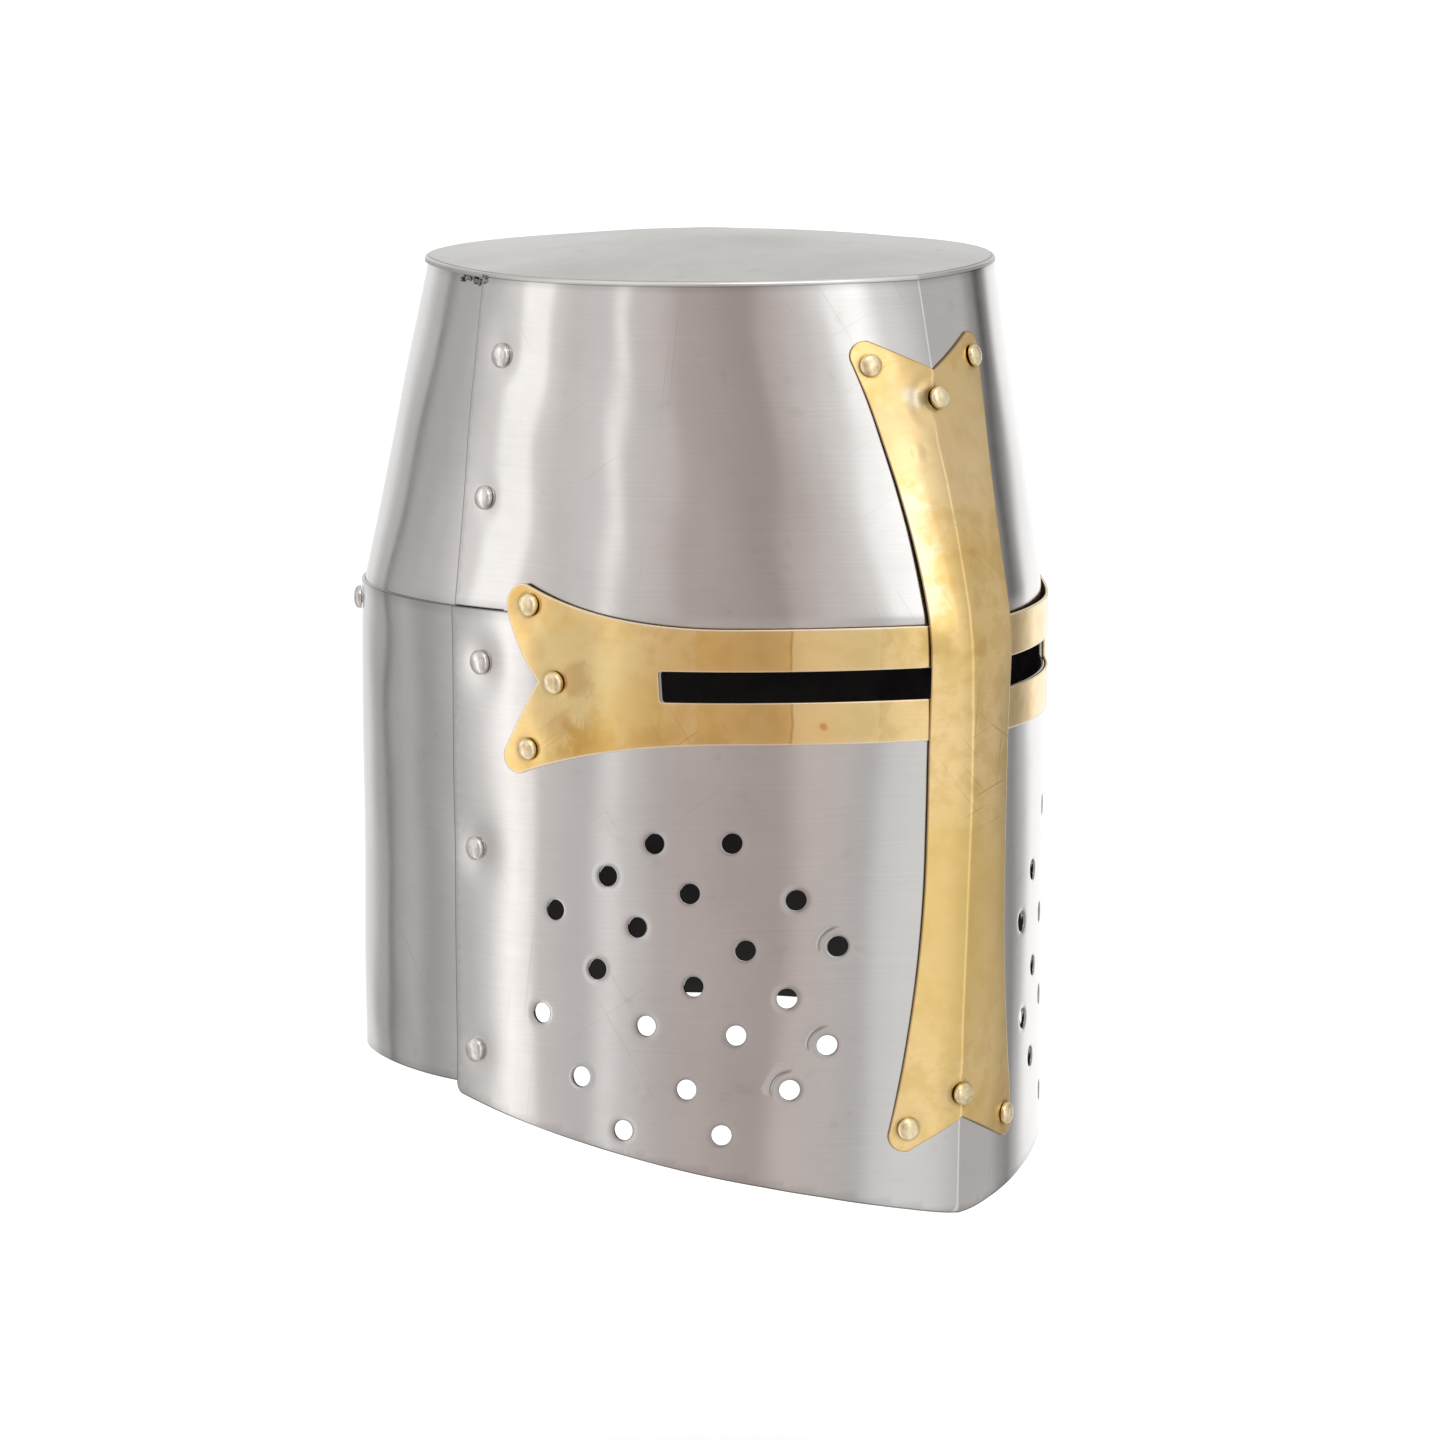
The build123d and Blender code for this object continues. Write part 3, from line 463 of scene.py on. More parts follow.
# Placed marks on the brass: lighter and darker patches and a small stain, then painted light on the upright.
brass_stains_and_painted_light = (
    ((-96.0, -48.0, -22.0), 36.0, (0.80, 0.63, 0.32), 0.75),
    ((-93.0, -55.0, -46.0), 16.0, (0.62, 0.36, 0.08), 0.85),
    ((-83.0, -74.0, -45.0), 12.0, (0.60, 0.35, 0.09), 0.6),
    ((-71.0, -93.0, -45.0), 9.0, (0.62, 0.37, 0.10), 0.5),
    ((2.0, -133.0, 60.0), 42.0, (0.86, 0.66, 0.38), 0.5),
    ((4.0, -146.0, -110.0), 62.0, (0.79, 0.57, 0.22), 0.55),
    ((-84.0, -72.0, -40.0), 26.0, (0.76, 0.50, 0.17), 0.5),
    ((-43.9, -119.5, -36.1), 1.9, (0.70, 0.24, 0.05), 0.7),
    ((-95.6, -50.8, -21.4), 9.0, (0.50, 0.30, 0.11), 0.5),
    ((-101.0, -36.0, -12.0), 6.0, (0.62, 0.40, 0.17), 0.35),
    ((-98.0, -44.0, -38.0), 7.0, (0.52, 0.31, 0.11), 0.35),
    # A painted highlight down the upright's near face.
    ((-18.0, -132.5, 34.5), 11.0, (1.0, 0.90, 0.70), 0.5),
    ((-17.5, -135.5, 19.4), 11.0, (1.0, 0.90, 0.72), 0.5),
    ((-16.0, -138.9, 5.9), 10.0, (1.0, 0.90, 0.72), 0.5),
    # A painted highlight beside the upright's top rivet, painted shade where the upright bends over the bar,
    # and a painted shadow next to the top rivet.
    ((-9.6, -128.2, 72.0), 5.0, (1.0, 0.92, 0.76), 0.6),
    ((-12.4, -141.1, -8.9), 9.0, (0.64, 0.44, 0.16), 0.8),
    ((-4.6, -128.9, 71.4), 4.2, (0.30, 0.20, 0.09), 0.7),
)
# Painted reflection bands across the bar: a darker band, a thin dark line and a lighter band.
brass_painted_reflection_bands = ((-73.6, -51.9, 0.8, (0.76, 0.49, 0.15), 0.5), (-51.9, -51.3, 0.2, (0.42, 0.26, 0.10), 0.45),
               (-51.3, -28.0, 0.4, (0.92, 0.71, 0.34), 0.55))
brass_scuffs = (((-96.3, -48.2, -36.7), 17.0, 0.05, (0.48, 0.29, 0.09), 0.7),
                ((-97.0, -47.0, -18.0), 15.0, 0.046, (0.48, 0.30, 0.11), 0.6),
                ((-78.0, -84.0, -40.0), 18.0, 0.048, (0.48, 0.30, 0.10), 0.6),
                ((8.0, -142.0, -52.0), 26.0, 0.05, (0.48, 0.31, 0.12), 0.65))
brass = brushed_metal("brushed brass", (0.87, 0.64, 0.31), (0.79, 0.535, 0.19), 0.2, 0.75, 2400.0, 0.05,
                      15.0, (0.60, 0.33, 0.11), 0.35, 0.08, 0.35, 0.6, brass_stains_and_painted_light, brass_painted_reflection_bands, brass_scuffs,
                      ((120.0, (0.68, 0.47, 0.17), 0.45),), edge_polish=0.3)
print("metals:", steel.name, crown_steel.name, brass.name)

# %% Blackened inside of the plates


def dark_inside(name, colour, dark):
    """The unpolished inner face of a plate: blue-black scale, with rust where it has worn."""
    material, tree, shader, where = new_material(name)
    stain = placed(tree, stain_group, {"Vector": where, "Scale": 40.0, "Edge": 0.2})
    tone = mix_colour(tree, smooth_step(tree, stain.outputs["Cloud"], 0.35, 0.65), dark, colour)
    tone = mix_colour(tree, sums(tree, "MULTIPLY", stain.outputs["Blots"], 0.6), tone, (0.09, 0.04, 0.02))
    wire(tree, tone, shader.inputs["Base Color"])
    shader.inputs["Metallic"].default_value = 0.6
    wire(tree, smooth_step(tree, stain.outputs["Cloud"], 0.3, 0.7, 0.5, 0.72), shader.inputs["Roughness"])
    wire(tree, bumped(tree, noise(tree, where, 600.0, 3.0), 0.00008, 0.5), shader.inputs["Normal"])
    return material


scale_black = dark_inside("blackened steel", (0.055, 0.05, 0.048), (0.028, 0.026, 0.027))
brass_back = dark_inside("brass back", (0.22, 0.14, 0.06), (0.13, 0.08, 0.035))
print("inner faces:", scale_black.name, brass_back.name)

# %% Rivet heads


def polished(name, colour, dark, roughness):
    """A hammered and polished rivet head: darker in clouds and in small blots."""
    material, tree, shader, where = new_material(name)
    stain = placed(tree, stain_group, {"Vector": where, "Scale": 260.0, "Edge": 0.12})
    tone = mix_colour(tree, smooth_step(tree, stain.outputs["Cloud"], 0.35, 0.7), colour, dark)
    tone = mix_colour(tree, sums(tree, "MULTIPLY", stain.outputs["Blots"], 0.5), tone,
                      tuple(0.4 * c for c in dark))
    wire(tree, tone, shader.inputs["Base Color"])
    shader.inputs["Metallic"].default_value = 1.0
    wire(tree, smooth_step(tree, stain.outputs["Cloud"], 0.3, 0.7, roughness, roughness + 0.12),
         shader.inputs["Roughness"])
    wire(tree, bumped(tree, noise(tree, where, 900.0, 3.0), 0.00006, 0.5), shader.inputs["Normal"])
    return material


rivet_steel = polished("polished rivet steel", (0.76, 0.74, 0.72), (0.55, 0.53, 0.51), 0.2)
rivet_brass = polished("polished rivet brass", (0.96, 0.84, 0.56), (0.66, 0.51, 0.28), 0.24)
washer_steel = polished("dull washer steel", (0.35, 0.34, 0.33), (0.22, 0.21, 0.20), 0.4)
weld_steel = polished("weld spatter steel", (0.34, 0.32, 0.30), (0.12, 0.11, 0.10), 0.26)
print("rivet finishes:", rivet_steel.name, rivet_brass.name)

# %% Leather and thread


def leather(name, colour, dark, grain, roughness):
    """Waxed leather with grain, mottling and rubbed places."""
    material, tree, shader, where = new_material(name)
    stain = placed(tree, stain_group, {"Vector": where, "Scale": 38.0, "Edge": 0.15})
    skin = placed(tree, grain_group, {"Vector": where, "Scale": grain})
    tone = mix_colour(tree, smooth_step(tree, stain.outputs["Cloud"], 0.3, 0.7), colour, dark)
    tone = mix_colour(tree, smooth_step(tree, skin.outputs[0], 0.2, 0.9, 0.35, 0.0), tone,
                      tuple(0.5 * c for c in dark))
    wire(tree, tone, shader.inputs["Base Color"])
    wire(tree, smooth_step(tree, stain.outputs["Cloud"], 0.3, 0.7, roughness, roughness + 0.15),
         shader.inputs["Roughness"])
    wire(tree, bumped(tree, skin.outputs[0], 0.0003, 0.6), shader.inputs["Normal"])
    return material


band_leather = leather("band leather", (0.30, 0.17, 0.09), (0.17, 0.09, 0.05), 620.0, 0.5)
tongue_leather = leather("tongue leather", (0.36, 0.22, 0.125), (0.22, 0.125, 0.07), 760.0, 0.55)
lace_leather = leather("lace leather", (0.10, 0.065, 0.045), (0.05, 0.032, 0.022), 1200.0, 0.5)
thread = leather("waxed linen thread", (0.52, 0.42, 0.28), (0.36, 0.27, 0.17), 1800.0, 0.7)
print("leathers:", band_leather.name, tongue_leather.name)

# %% [markdown]
# ## Rolling a sheet with Geometry Nodes
# A flat pattern carries four numbers on each point: its turn from the ridge, its height, how far it
# stands off the skin, and how far it slides sideways where a fold was pushed over. The tree below
# works out the plan's arcs from named radii and puts the point in its place, so every plate, the bar
# and the upright all follow one rule.

# %% The rolling tree


def geometry_tree(name, sizes, seed=None):
    """An empty Geometry Nodes tree with a geometry, named sizes and perhaps a seed."""
    tree = bpy.data.node_groups.new(name, "GeometryNodeTree")
    tree.interface.new_socket("Geometry", in_out="INPUT", socket_type="NodeSocketGeometry")
    for label, value in sizes.items():
        tree.interface.new_socket(label, in_out="INPUT", socket_type=FLOAT).default_value = value
    if seed is not None:
        tree.interface.new_socket("Seed", in_out="INPUT", socket_type="NodeSocketInt").default_value = seed
    tree.interface.new_socket("Geometry", in_out="OUTPUT", socket_type="NodeSocketGeometry")
    return tree, tree.nodes.new("NodeGroupInput"), tree.nodes.new("NodeGroupOutput")


def carried(tree, label, kind="FLOAT"):
    """A value that the points or faces of the piece carry."""
    made = node(tree, "GeometryNodeInputNamedAttribute", {"Name": label}, data_type=kind)
    return made.outputs["Attribute"]


def roll_tree(name, outside, inside):
    """A Geometry Nodes tree that rolls a flat pattern round the plan."""
    values = {"Crown height": CROWN_HEIGHT, "Neck drop": NECK_DROP, "Middle y": middle_y,
              "Waist height": waist_z}
    for place_name in ("crown", "waist", "neck"):
        radii, reach = PLAN[place_name]
        values["Reach at the " + place_name] = reach
        for arc, radius in zip(ARC_NAMES, radii):
            values[arc.capitalize() + " radius at the " + place_name] = float(radius)
    tree, start, end = geometry_tree(name, values)
    turn, height, grow = (carried(tree, label) for label in ("turn", "height", "grow"))
    rounds = sums(tree, "ROUND", sums(tree, "DIVIDE", turn, 360.0))
    wrapped = sums(tree, "SUBTRACT", turn, sums(tree, "MULTIPLY", rounds, 360.0))
    side = sums(tree, "SIGN", wrapped)
    bearing = sums(tree, "SUBTRACT", 180.0, sums(tree, "ABSOLUTE", wrapped))
    up = sums(tree, "DIVIDE", sums(tree, "MAXIMUM", height, 0.0), start.outputs["Crown height"])
    down = sums(tree, "DIVIDE", sums(tree, "MAXIMUM", sums(tree, "MULTIPLY", height, -1.0), 0.0),
                start.outputs["Neck drop"])

    def at_height(label):
        high, mid, low = (start.outputs[label + " at the " + p] for p in ("crown", "waist", "neck"))
        rise = sums(tree, "MULTIPLY", up, sums(tree, "SUBTRACT", high, mid))
        fall = sums(tree, "MULTIPLY", down, sums(tree, "SUBTRACT", low, mid))
        return sums(tree, "ADD", mid, sums(tree, "ADD", rise, fall))

    x, y = None, at_height("Reach")
    for arc, first, last in zip(ARC_NAMES, JOINTS, JOINTS[1:]):
        radius = at_height(arc.capitalize() + " radius")
        swept = sums(tree, "RADIANS", sums(tree, "MINIMUM", sums(tree, "MAXIMUM", bearing, float(first)),
                                           float(last)))
        run = sums(tree, "SUBTRACT", sums(tree, "SINE", swept), math.sin(math.radians(first)))
        back = sums(tree, "SUBTRACT", sums(tree, "COSINE", swept), math.cos(math.radians(first)))
        step = sums(tree, "MULTIPLY", radius, run)
        x = step if x is None else sums(tree, "ADD", x, step)
        y = sums(tree, "ADD", y, sums(tree, "MULTIPLY", radius, back))
    angle = sums(tree, "RADIANS", bearing)
    x = sums(tree, "ADD", x, sums(tree, "MULTIPLY", grow, sums(tree, "SINE", angle)))
    y = sums(tree, "ADD", y, sums(tree, "MULTIPLY", grow, sums(tree, "COSINE", angle)))
    x = sums(tree, "ADD", sums(tree, "MULTIPLY", x, side), carried(tree, "slide"))
    y = sums(tree, "ADD", y, start.outputs["Middle y"])
    z = sums(tree, "ADD", height, start.outputs["Waist height"])
    spot = node(tree, "ShaderNodeCombineXYZ", {0: x, 1: y, 2: z})
    metres = node(tree, "ShaderNodeVectorMath", {0: spot.outputs[0], "Scale": 0.001}, operation="SCALE")
    placed_points = node(tree, "GeometryNodeSetPosition", {"Geometry": start.outputs["Geometry"],
                                                           "Position": metres.outputs[0]})
    real = node(tree, "GeometryNodeRealizeInstances", {0: placed_points.outputs[0]})
    coated = node(tree, "GeometryNodeSetMaterial", {"Geometry": real.outputs[0], "Material": outside})
    lined = node(tree, "GeometryNodeSetMaterial", {
        "Geometry": coated.outputs[0], "Selection": carried(tree, "inner", "BOOLEAN"), "Material": inside})
    wire(tree, lined.outputs[0], end.inputs[0])
    return tree


roll_steel = roll_tree("roll a steel plate", steel, scale_black)
roll_brass = roll_tree("roll a brass strip", brass, brass_back)
print("rolling tree nodes:", len(roll_steel.nodes))


def linked(name, shape):
    """A new object for a mesh, in the scene."""
    made = bpy.data.objects.new(name, shape)
    bpy.context.collection.objects.link(made)
    return made


def write(shape, label, values, kind="FLOAT", key="value", domain="POINT"):
    """Stores one value for each point or face of a mesh."""
    shape.attributes.new(label, kind, domain).data.foreach_set(key, values)


def settled(piece, tree, values=None):
    """Runs a Geometry Nodes tree on a piece and keeps its result as a plain mesh."""
    modifier = piece.modifiers.new(tree.name, "NODES")
    modifier.node_group = tree
    sockets = {s.name: s.identifier for s in tree.interface.items_tree
               if s.item_type == "SOCKET" and s.in_out == "INPUT"}
    for label, value in (values or {}).items():
        modifier[sockets[label]] = value
    bpy.context.view_layer.update()
    shape = bpy.data.meshes.new_from_object(piece.evaluated_get(bpy.context.evaluated_depsgraph_get()))
    piece.modifiers.clear()
    piece.data = shape
    shape.name = piece.name
    return piece


def set_down(piece, slot, *nodes):
    """Hangs a finished piece on the helm, in place of its CAD nodes."""
    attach(piece, "root")
    if nodes:
        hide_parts(*nodes)
    print(piece.name, len(piece.data.polygons), "faces")
    return piece


# %% [markdown]
# ## Flat patterns
# A pattern is an outline with holes. Its inside is filled with an even net of points and joined by a
# constrained Delaunay triangulation, which keeps the outline exact. Three rings round every edge
# give the sheet its thickness and a softly broken edge. The net is wider across the ridge than the
# plate is, so that the crease gets points enough.

# %% The net of a pattern
NET_TURNS = np.array((0, 12.0, 22.5, 99.6, 116.5, 180.0))
NET_WIDTHS = np.array((0, 6.0, 22.0, 240.0, 294.0, 400.0))
net_turns = np.concatenate([-360 + NET_TURNS[:-1], -NET_TURNS[:0:-1], NET_TURNS[:-1],
                            360 - NET_TURNS[::-1]])
net_widths = np.concatenate([-800 + NET_WIDTHS[:-1], -NET_WIDTHS[:0:-1], NET_WIDTHS[:-1],
                             800 - NET_WIDTHS[::-1]])


def flat(turn, height):
    """Turn and height to the pattern's own plane."""
    turn, height = np.broadcast_arrays(np.asarray(turn, float), height)
    return np.stack([np.interp(turn, net_turns, net_widths), height], -1)


def dense(corners, step=2.0):
    """Straight runs through corners, divided evenly."""
    corners = np.asarray(corners, float)
    points = []
    for a, b in zip(corners, corners[1:]):
        count = max(1, int(np.ceil(np.hypot(*(b - a)) / step)))
        points += [a + (b - a) * k / count for k in range(count)]
    return np.array(points + [corners[-1]])


def bend(a, middle, b, count=16):
    """An arc from a to b through a middle point, in any plane of two numbers."""
    (ax, ay), (mx, my), (bx, by) = a, middle, b
    d = 2 * (ax * (my - by) + mx * (by - ay) + bx * (ay - my))
    cx = ((ax**2 + ay**2) * (my - by) + (mx**2 + my**2) * (by - ay) + (bx**2 + by**2) * (ay - my)) / d
    cy = ((ax**2 + ay**2) * (bx - mx) + (mx**2 + my**2) * (ax - bx) + (bx**2 + by**2) * (mx - ax)) / d
    angles = [math.atan2(y - cy, x - cx) for x, y in (a, middle, b)]
    while angles[1] - angles[0] > math.pi:
        angles[1] -= 2 * math.pi
    while angles[1] - angles[0] < -math.pi:
        angles[1] += 2 * math.pi
    while angles[2] - angles[1] > math.pi:
        angles[2] -= 2 * math.pi
    while angles[2] - angles[1] < -math.pi:
        angles[2] += 2 * math.pi
    radius = math.hypot(ax - cx, ay - cy)
    sweep = np.linspace(angles[0], angles[2], count + 1)
    return np.stack([cx + radius * np.cos(sweep), cy + radius * np.sin(sweep)], -1)


def tidy_loop(points, left_hand=True):
    """A closed loop without doubled points, counter-clockwise or, for a hole, clockwise."""
    kept = [points[0]]
    for point in points[1:]:
        if np.hypot(*(point - kept[-1])) > 0.12:
            kept.append(point)
    if np.hypot(*(kept[0] - kept[-1])) < 0.12:
        kept.pop()
    loop = np.array(kept)
    x, y = loop.T
    area = np.sum(x * np.roll(y, -1) - np.roll(x, -1) * y)
    return loop if (area > 0) == left_hand else loop[::-1]


def inset(loop, distance):
    """The loop moved sideways into the metal."""
    along = np.roll(loop, -1, 0) - loop
    along /= np.linalg.norm(along, axis=1)[:, None]
    normal = np.stack([-along[:, 1], along[:, 0]], -1)
    before = np.roll(normal, 1, 0)
    facing = np.maximum(1 + np.sum(before * normal, 1), 0.5)
    return loop + distance * (before + normal) / facing[:, None]


def inside(points, loops):
    """Which points lie in the metal."""
    edges = np.concatenate([np.hstack([loop, np.roll(loop, -1, 0)]) for loop in loops])
    within = np.zeros(len(points), bool)
    for start in range(0, len(points), 4000):
        px, py = points[start:start + 4000, 0, None], points[start:start + 4000, 1, None]
        ax, ay, bx, by = edges.T
        crosses = (ay > py) != (by > py)
        at = ax + (py - ay) / np.where(by == ay, 1e-12, by - ay) * (bx - ax)
        within[start:start + 4000] = np.sum(crosses & (px < at), 1) % 2 == 1
    return within


def far_from(points, fixed, distance):
    """The points that keep a distance from the fixed ones."""
    tree = kdtree.KDTree(len(fixed))
    for index, point in enumerate(fixed):
        tree.insert((point[0], point[1], 0), index)
    tree.balance()
    return np.array([p for p in points if tree.find((p[0], p[1], 0))[2] > distance]).reshape(-1, 2)


def net_points(loops, spacing, extra):
    """Extra points, then an even net of points wherever there is room."""
    low, high = loops[0].min(0), loops[0].max(0)
    rows = np.arange(low[1], high[1], spacing * 0.866)
    columns = np.arange(low[0], high[0], spacing)
    grid = np.array([(x + (spacing / 2 if r % 2 else 0), y) for r, y in enumerate(rows) for x in columns])
    fixed = np.concatenate(loops)
    if len(extra):
        extra = np.asarray(extra)
        extra = far_from(extra[inside(extra, loops)], fixed, 0.35)
        fixed = np.concatenate([fixed, extra])
    grid = far_from(grid[inside(grid, loops)], fixed, spacing * 0.55)
    return np.concatenate([extra, grid]) if len(extra) else grid


# %% Sheet from a pattern
EDGE_ROUND, EDGE_SUPPORT = 0.25, 0.65


def nowhere(turn, height):
    """No slide and no painted shade."""
    return 0.0


def sheet(name, loops, thickness, spacing, grow, tree, extra=(), slide=nowhere,
          painted_edge_tones=(0.25, 0.9, 1.0), painted_light_and_shade=nowhere):
    """A rolled sheet piece. grow(turn, height) gives its outer face's offset from the skin. The three edge
    values, beside the edge, on its rounding and on the side wall, paint shade where positive and a
    highlight where negative, and the painted-light function adds painted shade at turns and heights."""
    edge, corner = EDGE_ROUND, EDGE_ROUND * 0.29
    profile = ((EDGE_SUPPORT, 0), (edge, 0), (corner, corner), (0, edge), (0, thickness - edge),
               (corner, thickness - corner), (edge, thickness), (EDGE_SUPPORT, thickness))
    rings = [[inset(loop, away) for loop in loops] for away, _ in profile]
    border = np.concatenate(rings[0])
    middle = net_points(rings[0], spacing, extra)
    points = np.concatenate([border, middle])
    edges, first = [], 0
    for loop in loops:
        edges += [(first + k, first + (k + 1) % len(loop)) for k in range(len(loop))]
        first += len(loop)
    result = delaunay_2d_cdt([Vector(p) for p in points], edges, [], 0, 1e-6)
    origin = [o[0] if o else -1 for o in result[3]]
    if min(origin) < 0 or len(set(origin)) != len(points):
        print("  net of", name, "has", len(points) - len(set(origin) - {-1}), "odd points")
    triangles = np.array([[origin[v] for v in face] for face in result[2]])
    triangles = triangles[np.all(triangles >= 0, 1)]
    on_border = np.all(triangles < len(border), 1)
    centres = points[triangles].mean(1)
    keep = ~on_border
    keep[on_border] = inside(centres[on_border], rings[0])
    triangles = triangles[keep]
    flats, depths = [points], [np.zeros(len(points))]
    offsets = [0]
    for index, (_, depth) in enumerate(profile[1:-1], 1):
        offsets.append(sum(len(f) for f in flats))
        ring = np.concatenate(rings[index])
        flats.append(ring)
        depths.append(np.full(len(ring), depth))
    inner_start = sum(len(f) for f in flats)
    offsets.append(inner_start)
    flats.append(points)
    depths.append(np.full(len(points), thickness))
    plane, depth = np.concatenate(flats), np.concatenate(depths)
    faces = triangles.tolist() + (triangles[:, ::-1] + inner_start).tolist()
    is_inner = [False] * len(triangles) + [True] * len(triangles)
    first = 0
    for loop in loops:
        count = len(loop)
        for step, (a, b) in enumerate(zip(offsets, offsets[1:])):
            for k in range(count):
                i, j = first + k, first + (k + 1) % count
                faces.append((a + i, b + i, b + j, a + j))
                is_inner.append(step > 4)
        first += count
    turn = np.interp(plane[:, 0], net_widths, net_turns)
    height = plane[:, 1]
    shape = bpy.data.meshes.new(name)
    shape.from_pydata(np.column_stack([plane, depth]).tolist(), [], faces, shade_flat=False)
    ring_of = np.concatenate([np.full(len(f), k) for k, f in enumerate(flats)])
    of_outline = np.concatenate([np.arange(len(f)) < len(loops[0]) for f in flats])
    by_edge = np.arange(len(points)) < len(border)
    first_ring = np.concatenate([by_edge if k in (0, len(flats) - 1) else np.zeros(len(f), bool)
                                 for k, f in enumerate(flats)])
    # Painted shade and painted highlights along the edges, weaker round holes, plus painted shade round
    # rivets and in crescents.
    near_edge = np.where(np.isin(ring_of, (0, len(flats) - 1)), np.where(first_ring, painted_edge_tones[0], 0.0),
                         np.where(ring_of == 1, painted_edge_tones[1], painted_edge_tones[2])) * np.where(of_outline, 1.0, 0.55)
    near_edge = near_edge + painted_light_and_shade(turn, height)
    values = {"turn": turn, "height": height, "grow": grow(turn, height) - depth, "edge": near_edge,
              "slide": slide(turn, height) + 0 * turn}
    for label, value in values.items():
        write(shape, label, value.astype(np.float32))
    write(shape, "inner", is_inner, "BOOLEAN", domain="FACE")
    return settled(linked(name, shape), tree)


# %% [markdown]
# ## Marks of the hammer
# Hand-beaten sheet is never quite true. A few slow waves, a shallow dish under each rivet and a
# pressed rim round each punched hole are added to the sheet's offset from the skin. Rings of extra
# points round each rivet and hole give these marks a mesh that is fine enough.

# %% Waves, dishes and painted shadow


def rivet_painted_shadow(places):
    """Painted shadow round rivet heads, thicker on the wearer's right."""
    def painted_light_and_shade(turn, height):
        total = 0
        for place_turn, place_height in places:
            away = np.hypot(distance_at(turn, height) - distance_at(place_turn, place_height) + 0.4,
                            height - place_height)
            total = np.maximum(total, np.exp(-(np.maximum(away - 3.6, 0) / 0.7)**2))
        return total
    return painted_light_and_shade


def waves(turn, height, seed, size=0.22):
    """Slow, fixed unevenness of a beaten sheet, in millimetres."""
    chance = np.random.default_rng(seed)
    round_ = distance_at(turn, height)
    total = 0
    for _ in range(9):
        length = chance.uniform(28, 110)
        direction, phase = chance.uniform(0, math.pi), chance.uniform(0, 2 * math.pi)
        total = total + np.sin((round_ * math.cos(direction) + height * math.sin(direction))
                               * 2 * math.pi / length + phase) * length / 110
    return size * total / 3


def dish(turn, height, places, depth, radius):
    """A shallow dish round each (turn, height)."""
    round_ = distance_at(turn, height)
    total = np.zeros_like(round_)
    for place_turn, place_height in places:
        away = (round_ - distance_at(place_turn, place_height))**2 + (height - place_height)**2
        total -= depth * np.exp(-away / radius**2)
    return total


def circle_points(turn, height, radius, count, start=0.0):
    """Points on a circle round a place of the skin, as turns and heights."""
    angles = start + np.arange(count) * 2 * math.pi / count
    away = distance_at(turn, height) + radius * np.cos(angles)
    heights = height + radius * np.sin(angles)
    shift = distance_at(turn, heights) - distance_at(turn, height)
    return turn_at(away + shift, heights), heights


HEAD_NET = (4.6, 6.0, 8.0)


def ring_net(places, radii=HEAD_NET, count=20):
    """Rings of net points round places, so that a small dish is well drawn."""
    rings = []
    for turn, height in places:
        for index, radius in enumerate(radii):
            rings.append(flat(*circle_points(turn, height, radius, count, index * math.pi / count)))
    return np.concatenate(rings)


# %% Places of rivets and holes
SEAM_Y = {"waist": 5.6, "crown": 10.0, "neck": 11.6}
SEAM_LAP = 22.0


def seam_y(height):
    """Where the front plates end at a height."""
    up, down = max(height, 0) / CROWN_HEIGHT, max(-height, 0) / NECK_DROP
    rise = up * (SEAM_Y["crown"] - SEAM_Y["waist"]) + down * (SEAM_Y["neck"] - SEAM_Y["waist"])
    return SEAM_Y["waist"] + rise


def seam_places(heights, shares):
    """Turn and height of one seam's rivets."""
    return [(float(turn_where(1, seam_y(z) - 14.0 * share, z, 0)[0]), z)
            for z, share in zip(heights, shares)]


def ridge_place(distance, height):
    """A place at a distance round from the ridge."""
    return float(turn_at(distance, height)), height


upper_seam = seam_places((84.2, 36.7), (1.15, 0.87))
lower_seam = seam_places((-18.2, -81.8, -150.8), (1.04, 0.8, 0.76))
back_places = [(125.0, -7.0), (-125.0, -7.0), (180.0, -7.0)]
SIGHT_HEIGHT, BAR_MIDDLE = 10.4, -22.7
bar_places = [ridge_place(153.9, 25.3 + BAR_MIDDLE), ridge_place(153.9, -23.1 + BAR_MIDDLE),
              ridge_place(143.4, BAR_MIDDLE)]
top_places = [ridge_place(-21.7, 82.2), ridge_place(23.4, 82.2), (0.0, 70.5)]
foot_places = [ridge_place(-18.2, -173.2), ridge_place(26.6, -173.2), (0.0, -162.5)]


def both(places):
    """Places of the wearer's right and left."""
    return [(side * turn, z) for side in (-1, 1) for turn, z in places]


def seam_dishes(turn, height):
    """How far the seam rivets pulled both plates in, in small dishes and one long buckle."""
    return (dish(turn, height, both(upper_seam + lower_seam[2:]), 0.35, 7.0)
            + dish(turn, height, both(upper_seam + lower_seam), 0.3, 19.0)
            + dish(turn, height, both(lower_seam[:2]), 0.75, 8.5))


breath_shares = (
    ((0.550, 0.465), (0.410, 0.462)),
    ((0.640, 0.536), (0.485, 0.567), (0.297, 0.580)),
    ((0.748, 0.613), (0.583, 0.640), (0.385, 0.684), (0.224, 0.677)),
    ((0.662, 0.731), (0.478, 0.760), (0.312, 0.784)),
    ((0.779, 0.831), (0.566, 0.845), (0.401, 0.861), (0.241, 0.883)),
    ((0.695, 0.958), (0.490, 0.975), (0.306, 0.975)),
    ((0.610, 1.065), (0.426, 1.069)),
)
breath_places = []
for row in breath_shares:
    for share, drop in row:
        z = -NECK_DROP * drop
        to_seam = distance_at(turn_where(1, seam_y(z), z, 0)[0], z)
        breath_places.append((float(turn_at(share * to_seam, z)), z))
print("breath holes on one cheek:", len(breath_places))

# %% [markdown]
# ## The five steel plates
# Each outline is the CAD one: edges of the side view, found on the skin by their distance behind
# the face, and mirrored for the other side.

# %% Outline helpers


